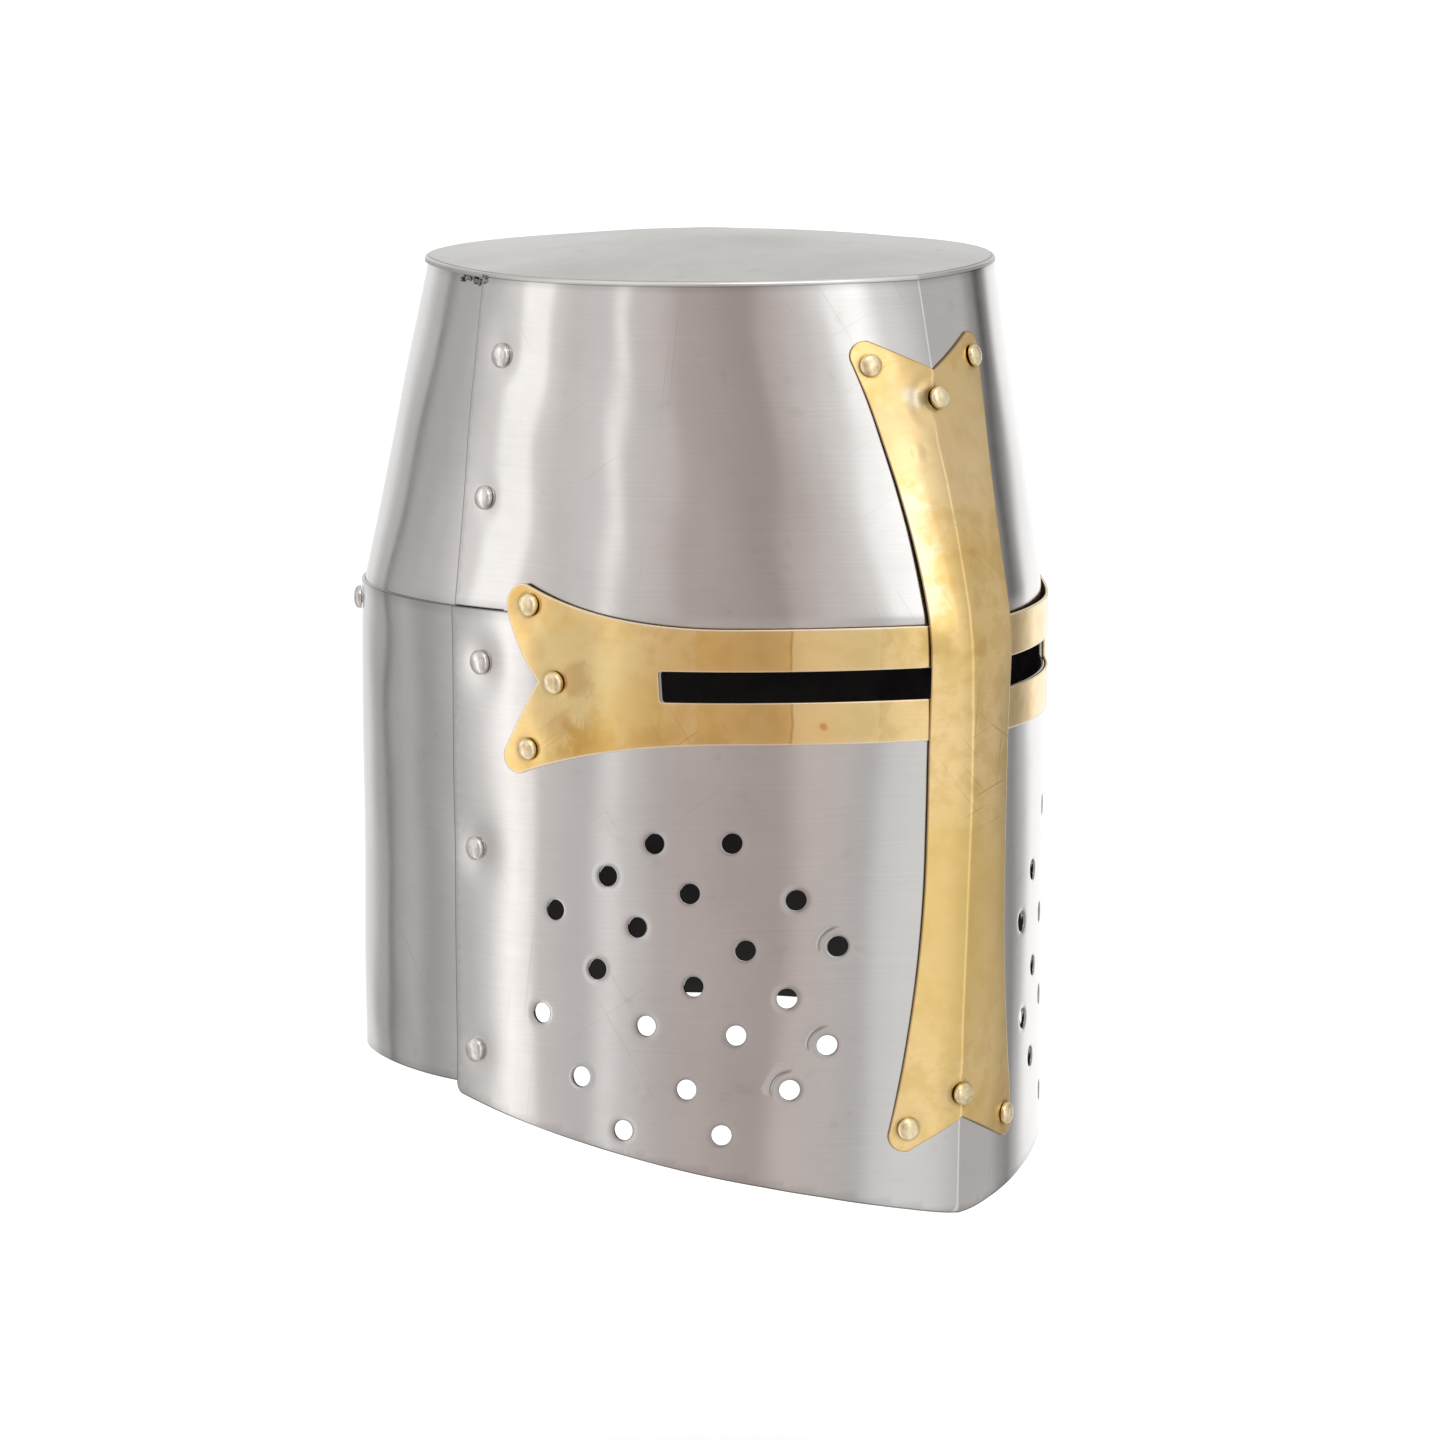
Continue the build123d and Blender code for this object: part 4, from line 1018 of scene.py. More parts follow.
def laid_side(run, grow):
    """Points of the side view (y, height), laid on the skin."""
    return flat(turn_where(1, run[:, 0], run[:, 1], grow), run[:, 1])


def side_line(points, grow):
    """An edge with corners in the side view, laid on the skin."""
    return laid_side(dense(points), grow)


def front_loop(left_edge):
    """A loop of a front piece from its left half edge, from the crown's ridge to the foot's ridge."""
    right_edge = left_edge[::-1] * np.array([-1, 1])
    return tidy_loop(np.concatenate([left_edge, right_edge]))


def level_run(start, end, height, step=2.0):
    """Points along a level edge, between two turns."""
    a, b = flat(start, height), flat(end, height)
    return dense([a, b], step)


def rim_joined(*runs):
    """One run from several that follow each other."""
    return np.concatenate(runs)


# %% Upper plates
seam_turns = {z: float(turn_where(1, seam_y(z), z, 0)[0]) for z in (CROWN_HEIGHT, 0.0)}
skirt_y, skirt_foot = SEAM_Y["waist"] - SEAM_LAP - 3.0, -13.0
left = rim_joined(
    level_run(0, seam_turns[CROWN_HEIGHT], CROWN_HEIGHT),
    side_line([(SEAM_Y["crown"], CROWN_HEIGHT), (SEAM_Y["waist"], 0)], 0),
    side_line([(SEAM_Y["waist"], 0), (skirt_y, 0)], 0),
    side_line([(skirt_y, 0), (skirt_y, skirt_foot)], 0),
    level_run(float(turn_where(1, skirt_y, skirt_foot, 0)[0]), 0, skirt_foot))
# Its edges get painted shade.
upper_front = sheet("upper_front_plate_worked", [front_loop(left)], STEEL_THICK, 2.6,
                    lambda t, z: (waves(t, z, 11, 0.26) + seam_dishes(t, z))
                    * np.clip((CROWN_HEIGHT - z) / 12, 0, 1), roll_steel, ring_net(both(upper_seam)))
set_down(upper_front, "steel", "upper_front_plate")


def back_sheet(name, foot, top, front_ys, grow, spacing, seed, places, node_name):
    """A rounded back plate; front_ys are (y, height) down its front edge."""
    left_edge = side_line(front_ys, grow)
    right_edge = left_edge[::-1] * np.array([-1, 1]) + np.array([2 * NET_WIDTHS[-1], 0])
    start = np.interp(left_edge[-1, 0], net_widths, net_turns)
    finish = np.interp(left_edge[0, 0], net_widths, net_turns)
    loop = tidy_loop(rim_joined(left_edge, level_run(start, 360 - start, foot), right_edge,
                                level_run(360 - finish, finish, top)))
    # Its edges get painted shade.
    made = sheet(name, [loop], STEEL_THICK, spacing,
                 lambda t, z: grow + waves(t, z, seed) * np.clip((top - z) / 12, 0, 1)
                 * np.clip((z - foot) / 12, 0, 1) + seam_dishes(t, z) + dish(t, z, places, 0.3, 7.0),
                 roll_steel, ring_net(places))
    return set_down(made, "steel", node_name)


turned_back = [(t if t > 0 else t + 360, z) for t, z in back_places]
back_sheet("upper_back_plate_worked", -14.0, CROWN_HEIGHT,
           [(SEAM_Y["crown"] - SEAM_LAP, CROWN_HEIGHT), (SEAM_Y["waist"] - SEAM_LAP, 0),
            (SEAM_Y["waist"] - SEAM_LAP, -14.0)], -1.3, 3.2, 23, turned_back, "upper_back_plate")
back_sheet("lower_back_plate_worked", -NECK_DROP, -0.1,
           [(SEAM_Y["waist"] - SEAM_LAP, -0.1), (SEAM_Y["neck"] - SEAM_LAP, -NECK_DROP)],
           0.0, 3.2, 37, turned_back, "lower_back_plate")

# %% Face plate
cheek_grow, BREATH_RADIUS = 1.3, 3.45
tip_y = float(on_skin(0, -RIDGE_DROP, cheek_grow)[1])
foot_start = (SEAM_Y["neck"], -NECK_DROP - 3.2)
rim = np.concatenate([
    bend(foot_start, (-44.2, -178.6), (-97.0, -191.9), 80),
    dense([(-97.0, -191.9), (-110.0, -195.8), (-120.0, -199.4), (-124.3, -201.1), (-128.0, -202.8),
           (tip_y, -RIDGE_DROP)], 1.5)[1:]])
corner_start = (SEAM_Y["neck"] - 0.12, -NECK_DROP - 0.2)
cut = rim[rim[:, 0] < SEAM_Y["neck"] - 3.0]
corner = bend(corner_start, (SEAM_Y["neck"] - 0.95, -NECK_DROP - 2.5), tuple(cut[0]), 6)
left = rim_joined(
    level_run(0, float(turn_where(1, -61.5, -8.0, cheek_grow)[0]), -8.0),
    side_line([(-61.5, -8.0), (-46.5, 0)], cheek_grow),
    side_line([(-46.5, 0), (SEAM_Y["waist"], 0)], cheek_grow),
    side_line([(SEAM_Y["waist"], 0), corner_start], cheek_grow),
    laid_side(corner, cheek_grow), laid_side(cut[1:], cheek_grow))
face_loop = front_loop(left)


def sight_loop(side, grow):
    """One sight, from the bridge at the ridge to its rounded outer end."""
    half, soft = SIGHT_HEIGHT / 2, 1.0
    heights = np.linspace(-half + soft, half - soft, 6) + BAR_MIDDLE
    near = flat(turn_where(0, 10.0, heights, grow), heights)
    top_y = [-78.7 - soft * (1 - math.sin(a)) for a in np.linspace(0, math.pi / 2, 5)]
    far_heights = [BAR_MIDDLE + half - soft * (1 - math.cos(a)) for a in np.linspace(0, math.pi / 2, 5)]
    end_upper = list(zip(top_y, far_heights))
    end_lower = [(y, 2 * BAR_MIDDLE - h) for y, h in reversed(end_upper)]
    end = np.array(end_upper + end_lower)
    far = laid_side(end, grow)
    near_top = flat(turn_where(0, 10.0, BAR_MIDDLE + half, grow), BAR_MIDDLE + half)[0]
    near_foot = flat(turn_where(0, 10.0, BAR_MIDDLE - half, grow), BAR_MIDDLE - half)[0]
    loop = np.concatenate([dense([near_foot, *near, near_top, far[0]], 1.8), far,
                           dense([far[-1], near_foot], 1.8)])
    return tidy_loop(loop * np.array([side, 1]), left_hand=False)


def hole_loop(turn, height, count=28):
    """One punched hole."""
    return tidy_loop(flat(*circle_points(turn, height, BREATH_RADIUS, count)), left_hand=False)


all_breath = both(breath_places)
face_loops = [face_loop] + [sight_loop(side, cheek_grow) for side in (-1, 1)]
face_loops += [hole_loop(t, z) for t, z in all_breath]
PUNCH_MARKED = (8, 15, 18)
marked_breath = [(-breath_places[k][0], breath_places[k][1]) for k in PUNCH_MARKED]


def pressed_rims(turn, height):
    """The metal round each punched hole, pressed in towards the hole."""
    round_ = distance_at(turn, height)
    total = np.zeros_like(round_)
    for hole_turn, hole_height in all_breath:
        shift = distance_at(hole_turn, height)
        away = np.hypot(round_ - shift, height - hole_height) - BREATH_RADIUS
        total -= 0.14 * np.exp(-(np.maximum(away, 0) / 0.8)**2)
    return total


def punch_marks(turn, height):
    """Crescents that the punch's collar pressed beside some of the holes."""
    round_ = distance_at(turn, height)
    total = np.zeros_like(round_)
    for hole_turn, hole_height in marked_breath:
        x = round_ - distance_at(hole_turn, height)
        y = height - hole_height
        away = np.hypot(x, y)
        facing = np.clip(((-x * 0.76 + y * 0.65) / np.maximum(away, 0.1) - 0.55) / 0.3, 0, 1)
        total -= facing * (0.3 * np.exp(-((away - 6.5) / 0.4)**2) - 0.1 * np.exp(-((away - 5.6) / 0.5)**2))
    return total


def crescent_painted_shade(turn, height):
    """Painted shade in the pressed crescents, deepest where they are pressed deepest."""
    return np.clip(-punch_marks(turn, height) / 0.3, 0, 1) * 0.75


plain_breath = [p for p in all_breath if p not in marked_breath]
face_extra = np.concatenate([
    ring_net(plain_breath, (4.9, 6.2, 8.0), 22), ring_net(both(lower_seam)),
    ring_net(marked_breath, (5.4, 5.8, 6.15, 6.5, 6.85, 7.3), 60)])
# Its edges and hole rims get painted shade, and its pressed crescents painted shade too.
face_plate = sheet("lower_front_plate_worked", face_loops, STEEL_THICK, 2.7,
                   lambda t, z: cheek_grow + waves(t, z, 5, 0.24) + seam_dishes(t, z)
                   + pressed_rims(t, z) + punch_marks(t, z),
                   roll_steel, face_extra, painted_light_and_shade=crescent_painted_shade)
set_down(face_plate, "steel", "lower_front_plate")

# %% [markdown]
# ## The brass cross
# The bar and the upright are cut from thinner brass, with fishtail ends, and riveted over the
# steel. The bar is rolled like the plates. The upright is creased over the ridge and climbs over
# the bar, so its offset changes with height. Its fold was pushed over a little on the real one.

# %% Cross bar
bar_grow = 2.4
flare_start, notch_y, bar_half, tip_half = -100.0, -36.1, 19.4, 24.5
# For the upper and the lower lobe: where the flare ends, its half height, the tip and the bow.
bar_tails = {1: (-30.6, 32.6, -23.6, 1.8), -1: (-26.8, 31.7, -20.2, 0.2)}


def bar_edge(up):
    """The upper or lower edge of the bar, from the ridge to the notch, in the side view."""
    tail_y, tail_half, bar_tip_y, bow = bar_tails[up]
    length, rise = tail_y - flare_start, tail_half - bar_half
    radius = (length**2 + rise**2) / (2 * rise)
    half_angle = math.asin(length / radius) / 2
    middle = (flare_start + radius * math.sin(half_angle),
              bar_half + radius * (1 - math.cos(half_angle)))
    flare_run = bend((flare_start, bar_half), middle, (tail_y, tail_half), 36)
    lobe = ((tail_y + bar_tip_y * 3) / 4, (tail_half * 3 + tip_half) / 4)
    end = bend((tail_y, tail_half), lobe, (bar_tip_y, tip_half), 8)
    bowed = bend((bar_tip_y, tip_half), ((bar_tip_y + notch_y) / 2 + bow, tip_half / 2), (notch_y, 0), 14)
    run = rim_joined(flare_run, end[1:], bowed[1:])
    return np.stack([run[:, 0], BAR_MIDDLE + up * run[:, 1]], -1)


halves = []
for up in (1, -1):
    run = bar_edge(up)
    start = float(turn_where(1, flare_start, BAR_MIDDLE + up * bar_half, bar_grow)[0])
    halves.append(rim_joined(level_run(0, start, BAR_MIDDLE + up * bar_half), laid_side(run, bar_grow)[1:]))
bar_loop = front_loop(rim_joined(halves[0], halves[1][::-1]))
bar_rivets = both(bar_places)
bar_loops = [bar_loop] + [sight_loop(side, bar_grow) for side in (-1, 1)]
# Its edges get a painted highlight, and a ring of painted shadow lies round each rivet.
cross_bar = sheet("cross_bar_worked", bar_loops, BRASS_THICK, 2.4,
                  lambda t, z: bar_grow + waves(t, z, 8, 0.12) + dish(t, z, bar_rivets, 0.4, 6.0),
                  roll_brass, ring_net(bar_rivets, (3.7, *HEAD_NET)), painted_edge_tones=(-0.08, -1.0, -0.6),
                  painted_light_and_shade=rivet_painted_shadow(bar_rivets))
set_down(cross_bar, "brass", "cross_bar")

# %% Cross upright
# Height and offset of the inner face; then, for the wearer's right and left, the half widths of the
# straight stretch, the top and the foot.
upright_stops = ((-190.0, 1.4), (-48.0, 2.5), (0.0, 2.5), (90.5, 0.1))
upright_sides = {-1: (14.8, 26.8, 24.2), 1: (20.9, 27.0, 30.8)}
UPRIGHT_ENDS = ((1, -8.0, 90.5, 80.0), (-1, -80.0, -181.0, -170.5))
CORNER = 6.0


def upright_grow(height):
    """The outer face of the upright at a height, with a soft bend over the bar's upper edge."""
    height = np.asarray(height, float)
    softened = 4.0 * np.log1p(np.exp((height + 6.0) / 4.0)) - np.maximum(height, 0)
    arched = 1.6 * np.exp(-(np.maximum(-height - 8, 0) / 22)**2) - 0.23 * softened
    arched = arched * np.clip((95 - height) / 40, 0, 1)
    return np.interp(height, *zip(*upright_stops)) + BRASS_THICK + arched


def upright_half(side, step=1.6):
    """One edge of the upright in the front view (x, height), from the top notch to the foot notch."""
    waist_half, top_half, foot_half = upright_sides[side]
    runs = []
    for (up, flare_from, end, notch), wide in zip(UPRIGHT_ENDS, (top_half, foot_half)):
        shoulder = end - up * CORNER
        length, rise = abs(shoulder - flare_from), wide - waist_half
        radius = (length**2 + rise**2) / (2 * rise)
        half_angle = math.asin(length / radius) / 2
        middle = (waist_half + radius * (1 - math.cos(half_angle)),
                  flare_from + up * radius * math.sin(half_angle))
        flare_run = bend((waist_half, flare_from), middle, (wide, shoulder), 56)
        corner_run = bend((wide, shoulder), (wide - CORNER / 4, end - up * CORNER / 4),
                          (wide - CORNER, end), 6)
        last = dense([(wide - CORNER, end), (0.0, notch)], step)
        runs.append(rim_joined(flare_run, corner_run[1:], last[1:]))
    top, foot = runs
    straight = dense([(waist_half, UPRIGHT_ENDS[0][1]), (waist_half, UPRIGHT_ENDS[1][1])], step)
    return rim_joined(top[::-1], straight[1:-1], foot)


def laid_front(run, side):
    """A front view edge laid on the skin, each point at its own offset."""
    turns = [float(turn_where(0, x, z, upright_grow(z))[0]) if x > 0.05 else 0.0 for x, z in run]
    return flat(side * np.array(turns), run[:, 1])


FOLD_SLIDE = ((-170, 0), (-141, -0.45), (-100, 0.2), (-63, 0.8), (-35, 0.4), (-18, -0.8), (-4, -2.1),
              (13, -1.9), (27, -1.85), (43.5, -2.4), (57, -3.7), (66, -3.0), (78, -0.7), (90, 0))
DIMPLE_TURN, DIMPLE_HEIGHT = -20.3, 53.4


def pushed_fold(turn, height):
    """How far the fold was pushed to the wearer's right, fading to nothing on both faces."""
    fade = np.clip(1 - np.abs(distance_at(turn, height)) / 25, 0, 1)
    return np.interp(height, *zip(*FOLD_SLIDE)) * fade


def dimple(turn, height):
    """A small round mark of the hammer below the top rivets."""
    away = np.hypot(distance_at(turn, height) - distance_at(DIMPLE_TURN, DIMPLE_HEIGHT),
                    height - DIMPLE_HEIGHT)
    return 0.2 * np.exp(-(away / 1.9)**2) - 0.06 * np.exp(-((away - 3.4) / 0.8)**2)


def deep_dent(turn, height, place):
    """A dent driven in round a rivet of the fold, with a slightly raised lip."""
    away = np.hypot(distance_at(turn, height) - distance_at(*place), height - place[1])
    return -1.35 * np.exp(-(away / 6.8)**3) + 0.08 * np.exp(-((away - 10) / 1.8)**2)


left, right_side = laid_front(upright_half(1), 1), laid_front(upright_half(-1), -1)
upright_loop = tidy_loop(rim_joined(left, right_side[::-1]))
upright_rivets = top_places + foot_places
upright_extra = np.concatenate([
    ring_net(upright_rivets, (3.6, 4.6, 5.6, 7.0, 8.6, 10.4), 26),
    ring_net([(DIMPLE_TURN, DIMPLE_HEIGHT)], (0.9, 1.8, 2.6, 3.4, 4.4), 16)])
# Its edges get painted shade, darkest on the side wall, and a ring of painted shadow lies round each rivet.
cross_upright = sheet("cross_upright_worked", [upright_loop], BRASS_THICK, 2.0,
                      lambda t, z: upright_grow(z) + waves(t, z, 77, 0.14)
                      + dish(t, z, top_places[:2] + foot_places[:2], 0.5, 6.5) + dimple(t, z)
                      + deep_dent(t, z, top_places[2]) + dish(t, z, foot_places[2:], 0.9, 6.5),
                      roll_brass, upright_extra, slide=pushed_fold, painted_edge_tones=(0, 0.2, 1.0),
                      painted_light_and_shade=rivet_painted_shadow(upright_rivets))
set_down(cross_upright, "brass", "cross_upright")

# %% [markdown]
# ## Lofted pieces
# The crown plate, the liner band and its tongues are not flat sheets rolled once, so they are built
# as rings of points joined one to the next, each ring following the same plan.

# %% Loft helper


def loft(name, rings, material, closed_path=False):
    """A closed mesh through rings of points (count, 3) in building millimetres."""
    rings = [np.asarray(ring, float) for ring in rings]
    count = len(rings[0])
    points = np.concatenate(rings)
    faces = []
    spans = len(rings) if closed_path else len(rings) - 1
    for index in range(spans):
        a, b = index * count, ((index + 1) % len(rings)) * count
        for k in range(count):
            j = (k + 1) % count
            faces.append((a + k, a + j, b + j, b + k))
    if not closed_path:
        for start, flip in ((0, True), ((len(rings) - 1) * count, False)):
            centre = points[start:start + count].mean(0)
            points = np.vstack([points, centre])
            hub = len(points) - 1
            for k in range(count):
                j = (k + 1) % count
                faces.append((start + j, start + k, hub) if flip else (start + k, start + j, hub))
    shape = bpy.data.meshes.new(name)
    shape.from_pydata(to_metres(points).tolist(), [], faces, shade_flat=False)
    shape.materials.append(material)
    return linked(name, shape)


def turned_out(piece):
    """Recalculates a closed mesh's faces so that they point outwards."""
    work = bmesh.new()
    work.from_mesh(piece.data)
    bmesh.ops.recalc_face_normals(work, faces=work.faces)
    work.to_mesh(piece.data)
    work.free()
    return piece


# %% Crown plate
around = np.interp(np.linspace(0, 2, 441)[:-1], [0, 0.06, 1, 1.94, 2], [0, 14, 180, 346, 360])
crown_plan = on_skin(around, CROWN_HEIGHT)
crown_middle = np.array([0, (crown_plan[:, 1].min() + crown_plan[:, 1].max()) / 2, CROWN_HEIGHT])
CROWN_RISE, LIP_SHARE = 8.9, 1 - 3.0 / crown_reach


def dome_rise(share):
    """How high the dome stands at a share of the way from its middle to its rim."""
    return np.interp(share, DOME_SHARES, DOME_RISES)


DOME_SHARES = np.linspace(0, 1, 60)
known = ([0, 0.14, 0.40, 0.62, 0.78, 0.90, LIP_SHARE, 1.0],
         [1.0, 0.965, 0.695, 0.465, 0.27, 0.125, 0.03, 0.0])
rough_rise = np.interp(np.linspace(0, 1, 600), *known)
kernel = np.hanning(41) / np.hanning(41).sum()
padded_rise = np.concatenate([rough_rise[20:0:-1], rough_rise, 2 * rough_rise[-1] - rough_rise[-2:-22:-1]])
softened_rise = np.convolve(padded_rise, kernel, "valid")
DOME_RISES = CROWN_RISE * np.interp(DOME_SHARES, np.linspace(0, 1, 600), softened_rise)
DOME_RISES = np.maximum(DOME_RISES - DOME_RISES[-1], 0)


def crown_ring(share, lift, shrink=0.0, hammered=False):
    """A ring of the crown: the plan shrunk by a share, less a few tenths, and lifted."""
    reach = (crown_plan - crown_middle) * share
    length = np.linalg.norm(reach, axis=1, keepdims=True)
    ring = crown_middle + reach * np.maximum(1 - shrink / np.maximum(length, 1e-6), 0)
    ring = ring + np.array([0, 0, 1.0]) * lift
    if hammered:
        chance = np.random.default_rng(3)
        for _ in range(26):
            spot = chance.uniform(-80, 80, 2) + crown_middle[:2]
            wide, deep = chance.uniform(9, 20), chance.uniform(-0.25, 0.2)
            away = np.sum((ring[:, :2] - spot)**2, 1)
            ring[:, 2] += deep * np.exp(-away / wide**2) * min(1, (1 - share) * 8)
    return ring


top_shares = np.concatenate([np.linspace(1, 0.86, 16)[1:], np.linspace(0.86, 0.03, 34)[1:]])
rings = [crown_ring(s, dome_rise(s)) for s in top_shares[::-1]]
weld_profile = ((0, 3.0), (0, 1.0), (-0.6, 0.3), (-0.8, 0.0), (-0.5, -0.03), (0.1, -0.02), (0.5, 0.04),
                (0.85, 0.24), (1.1, 0.6), (1.2, 1.1))
rings += [crown_ring(1, lift, shrink) for lift, shrink in weld_profile]
# A painted highlight along the crown's rounded rim, strongest between turns of -68 and -20 degrees on the
# wearer's right front and fainter round the rest of the rim.
rim_highlight_rings = [0] * (len(rings) - 5) + [0.1, 0.6, 0.9, 0.5, 0.0] + [0] * len(top_shares)
rings += [crown_ring(s, STEEL_THICK + dome_rise(s), hammered=True) for s in top_shares]
crown_piece = turned_out(loft("crown_plate_worked", rings, crown_steel))
shown_turn = (around + 180) % 360 - 180
rim_highlight_share = np.interp(shown_turn, (-82, -68, -20, -8, 0), (0.3, 1, 1, 0.5, 0.25))
rim_painted_highlight = np.append(np.outer(rim_highlight_rings, rim_highlight_share), (0, 0)).astype(np.float32)
write(crown_piece.data, "edge", rim_painted_highlight)
set_down(crown_piece, "steel", "crown_plate")

# %% [markdown]
# ## Weld spatter
# Where the seam meets the crown the weld was not dressed, and small beads of metal stuck to the
# wall. Each bead is one ball of a Geometry Nodes tree, put on a fixed cloud of points, sized at
# random from the tree's seed and roughened by noise, as cooled drops are.

# %% Beads at the top of each seam


def roughened(tree, geometry, unevenness, scale, material):
    """The last stretch of a tree: the surface pushed in and out by noise, and its material."""
    lumps = node(tree, "ShaderNodeTexNoise", {"Scale": scale, "Detail": 1.0})
    lumped = sums(tree, "MULTIPLY", sums(tree, "SUBTRACT", lumps.outputs[0], 0.5), unevenness)
    normal = tree.nodes.new("GeometryNodeInputNormal")
    push = node(tree, "ShaderNodeVectorMath", {0: normal.outputs[0], "Scale": lumped}, operation="SCALE")
    rough = node(tree, "GeometryNodeSetPosition", {"Geometry": geometry, "Offset": push.outputs[0]})
    coated = node(tree, "GeometryNodeSetMaterial", {"Geometry": rough.outputs[0], "Material": material})
    return coated.outputs[0]


def bead_tree(name, material, segments, radius, seed, stretch):
    """A Geometry Nodes tree that puts a small, uneven ball on every point, aimed along "along"."""
    tree, start, end = geometry_tree(name, {"Radius": radius, "Unevenness": radius * 0.5}, seed)
    ball = node(tree, "GeometryNodeMeshUVSphere", {"Segments": segments, "Rings": segments // 2,
                                                   "Radius": start.outputs["Radius"]})
    long_ball = node(tree, "GeometryNodeTransform", {"Geometry": ball.outputs[0], "Scale": stretch})
    along = carried(tree, "along", "FLOAT_VECTOR")
    aimed = node(tree, "FunctionNodeAlignRotationToVector", {"Vector": along}, axis="X")
    size = node(tree, "FunctionNodeRandomValue", {"Min": (0.65, 0.65, 0.65), "Max": (1.0, 1.0, 1.0),
                                                  "Seed": start.outputs["Seed"]}, data_type="FLOAT_VECTOR")
    dropped = node(tree, "GeometryNodeInstanceOnPoints", {
        "Points": start.outputs["Geometry"], "Instance": long_ball.outputs[0], "Rotation": aimed.outputs[0],
        "Scale": size.outputs[0]})
    real = node(tree, "GeometryNodeRealizeInstances", {0: dropped.outputs[0]})
    coated = roughened(tree, real.outputs[0], start.outputs["Unevenness"], 0.6 / radius, material)
    wire(tree, coated, end.inputs[0])
    return tree


def beads(name, points, along, tree):
    """A piece of beads at points (building millimetres), each aimed along its own direction."""
    shape = bpy.data.meshes.new(name)
    shape.from_pydata(to_metres(points).tolist(), [], [])
    write(shape, "along", np.ravel(along), "FLOAT_VECTOR", "vector")
    return settled(linked(name, shape), tree)


chance = np.random.default_rng(12)
bead_turns = np.concatenate([chance.uniform(100.0, 104.4, 15), chance.uniform(97.0, 99.6, 5)])
bead_heights = CROWN_HEIGHT - 0.3 - chance.uniform(0, 1, 20)**1.5 * 2.6
bead_turns = np.concatenate([bead_turns, -bead_turns - 0.3])
bead_heights = np.tile(bead_heights, 2)
bead_points = on_skin(bead_turns, bead_heights, np.where(np.abs(bead_turns) > 99.9, -1.1, 0.1))
spatter = beads("weld_spatter", bead_points, chance.normal(size=(40, 3)),
                bead_tree("weld beads", weld_steel, 12, 0.0009, 5, (1.5, 1.0, 0.8)))
set_down(spatter, "steel")

# %% [markdown]
# ## Rivets
# Rivets repeat, so one Geometry Nodes tree makes them all. It turns a sphere's rings into the
# profile of a set rivet with two curves, puts one on every seat, and then pulls the tail down by the
# grip that the seat carries, which is the thickness of the sheets that the rivet holds.

# %% The rivet tree
HEAD_RADIUS, HEAD_HEIGHT, SHANK_SHARE, TAIL_SHARE, TAIL_HEIGHT = 4.2, 2.7, 2.0 / 4.2, 3.0 / 4.2, 1.5
profile = [(math.sin(a)**0.9, 0.14 + 0.86 * max(math.cos(a), 0)**0.8, 0, 0)
           for a in np.linspace(0, math.pi / 2, 12)]
profile += [(1.0, 0.05, 0, 0), (0.965, 0.0, 0, 0), (0.8, 0, 0, 0), (SHANK_SHARE, 0, 0, 0)]
profile += [(SHANK_SHARE, 0, 1, 0), (TAIL_SHARE * 0.97, 0, 1, 0), (TAIL_SHARE, 0, 1, 0.15),
            (TAIL_SHARE * 0.96, 0, 1, 0.5), (TAIL_SHARE * 0.8, 0, 1, 0.8), (TAIL_SHARE * 0.45, 0, 1, 0.97),
            (0, 0, 1, 1.0)]


def ring_curve(tree, fraction, values):
    """A Float Curve that gives each ring of the sphere its own value."""
    made = node(tree, "ShaderNodeFloatCurve", {"Value": fraction})
    points = made.mapping.curves[0].points
    for index, value in enumerate(values):
        where = index / (len(values) - 1)
        if index < 2:
            points[index].location = (where if index == 0 else 1.0, value if index == 0 else values[-1])
        if 0 < index < len(values) - 1:
            points.new(where, value)
    for point in points:
        point.handle_type = "VECTOR"
    made.mapping.update()
    return made.outputs[0]


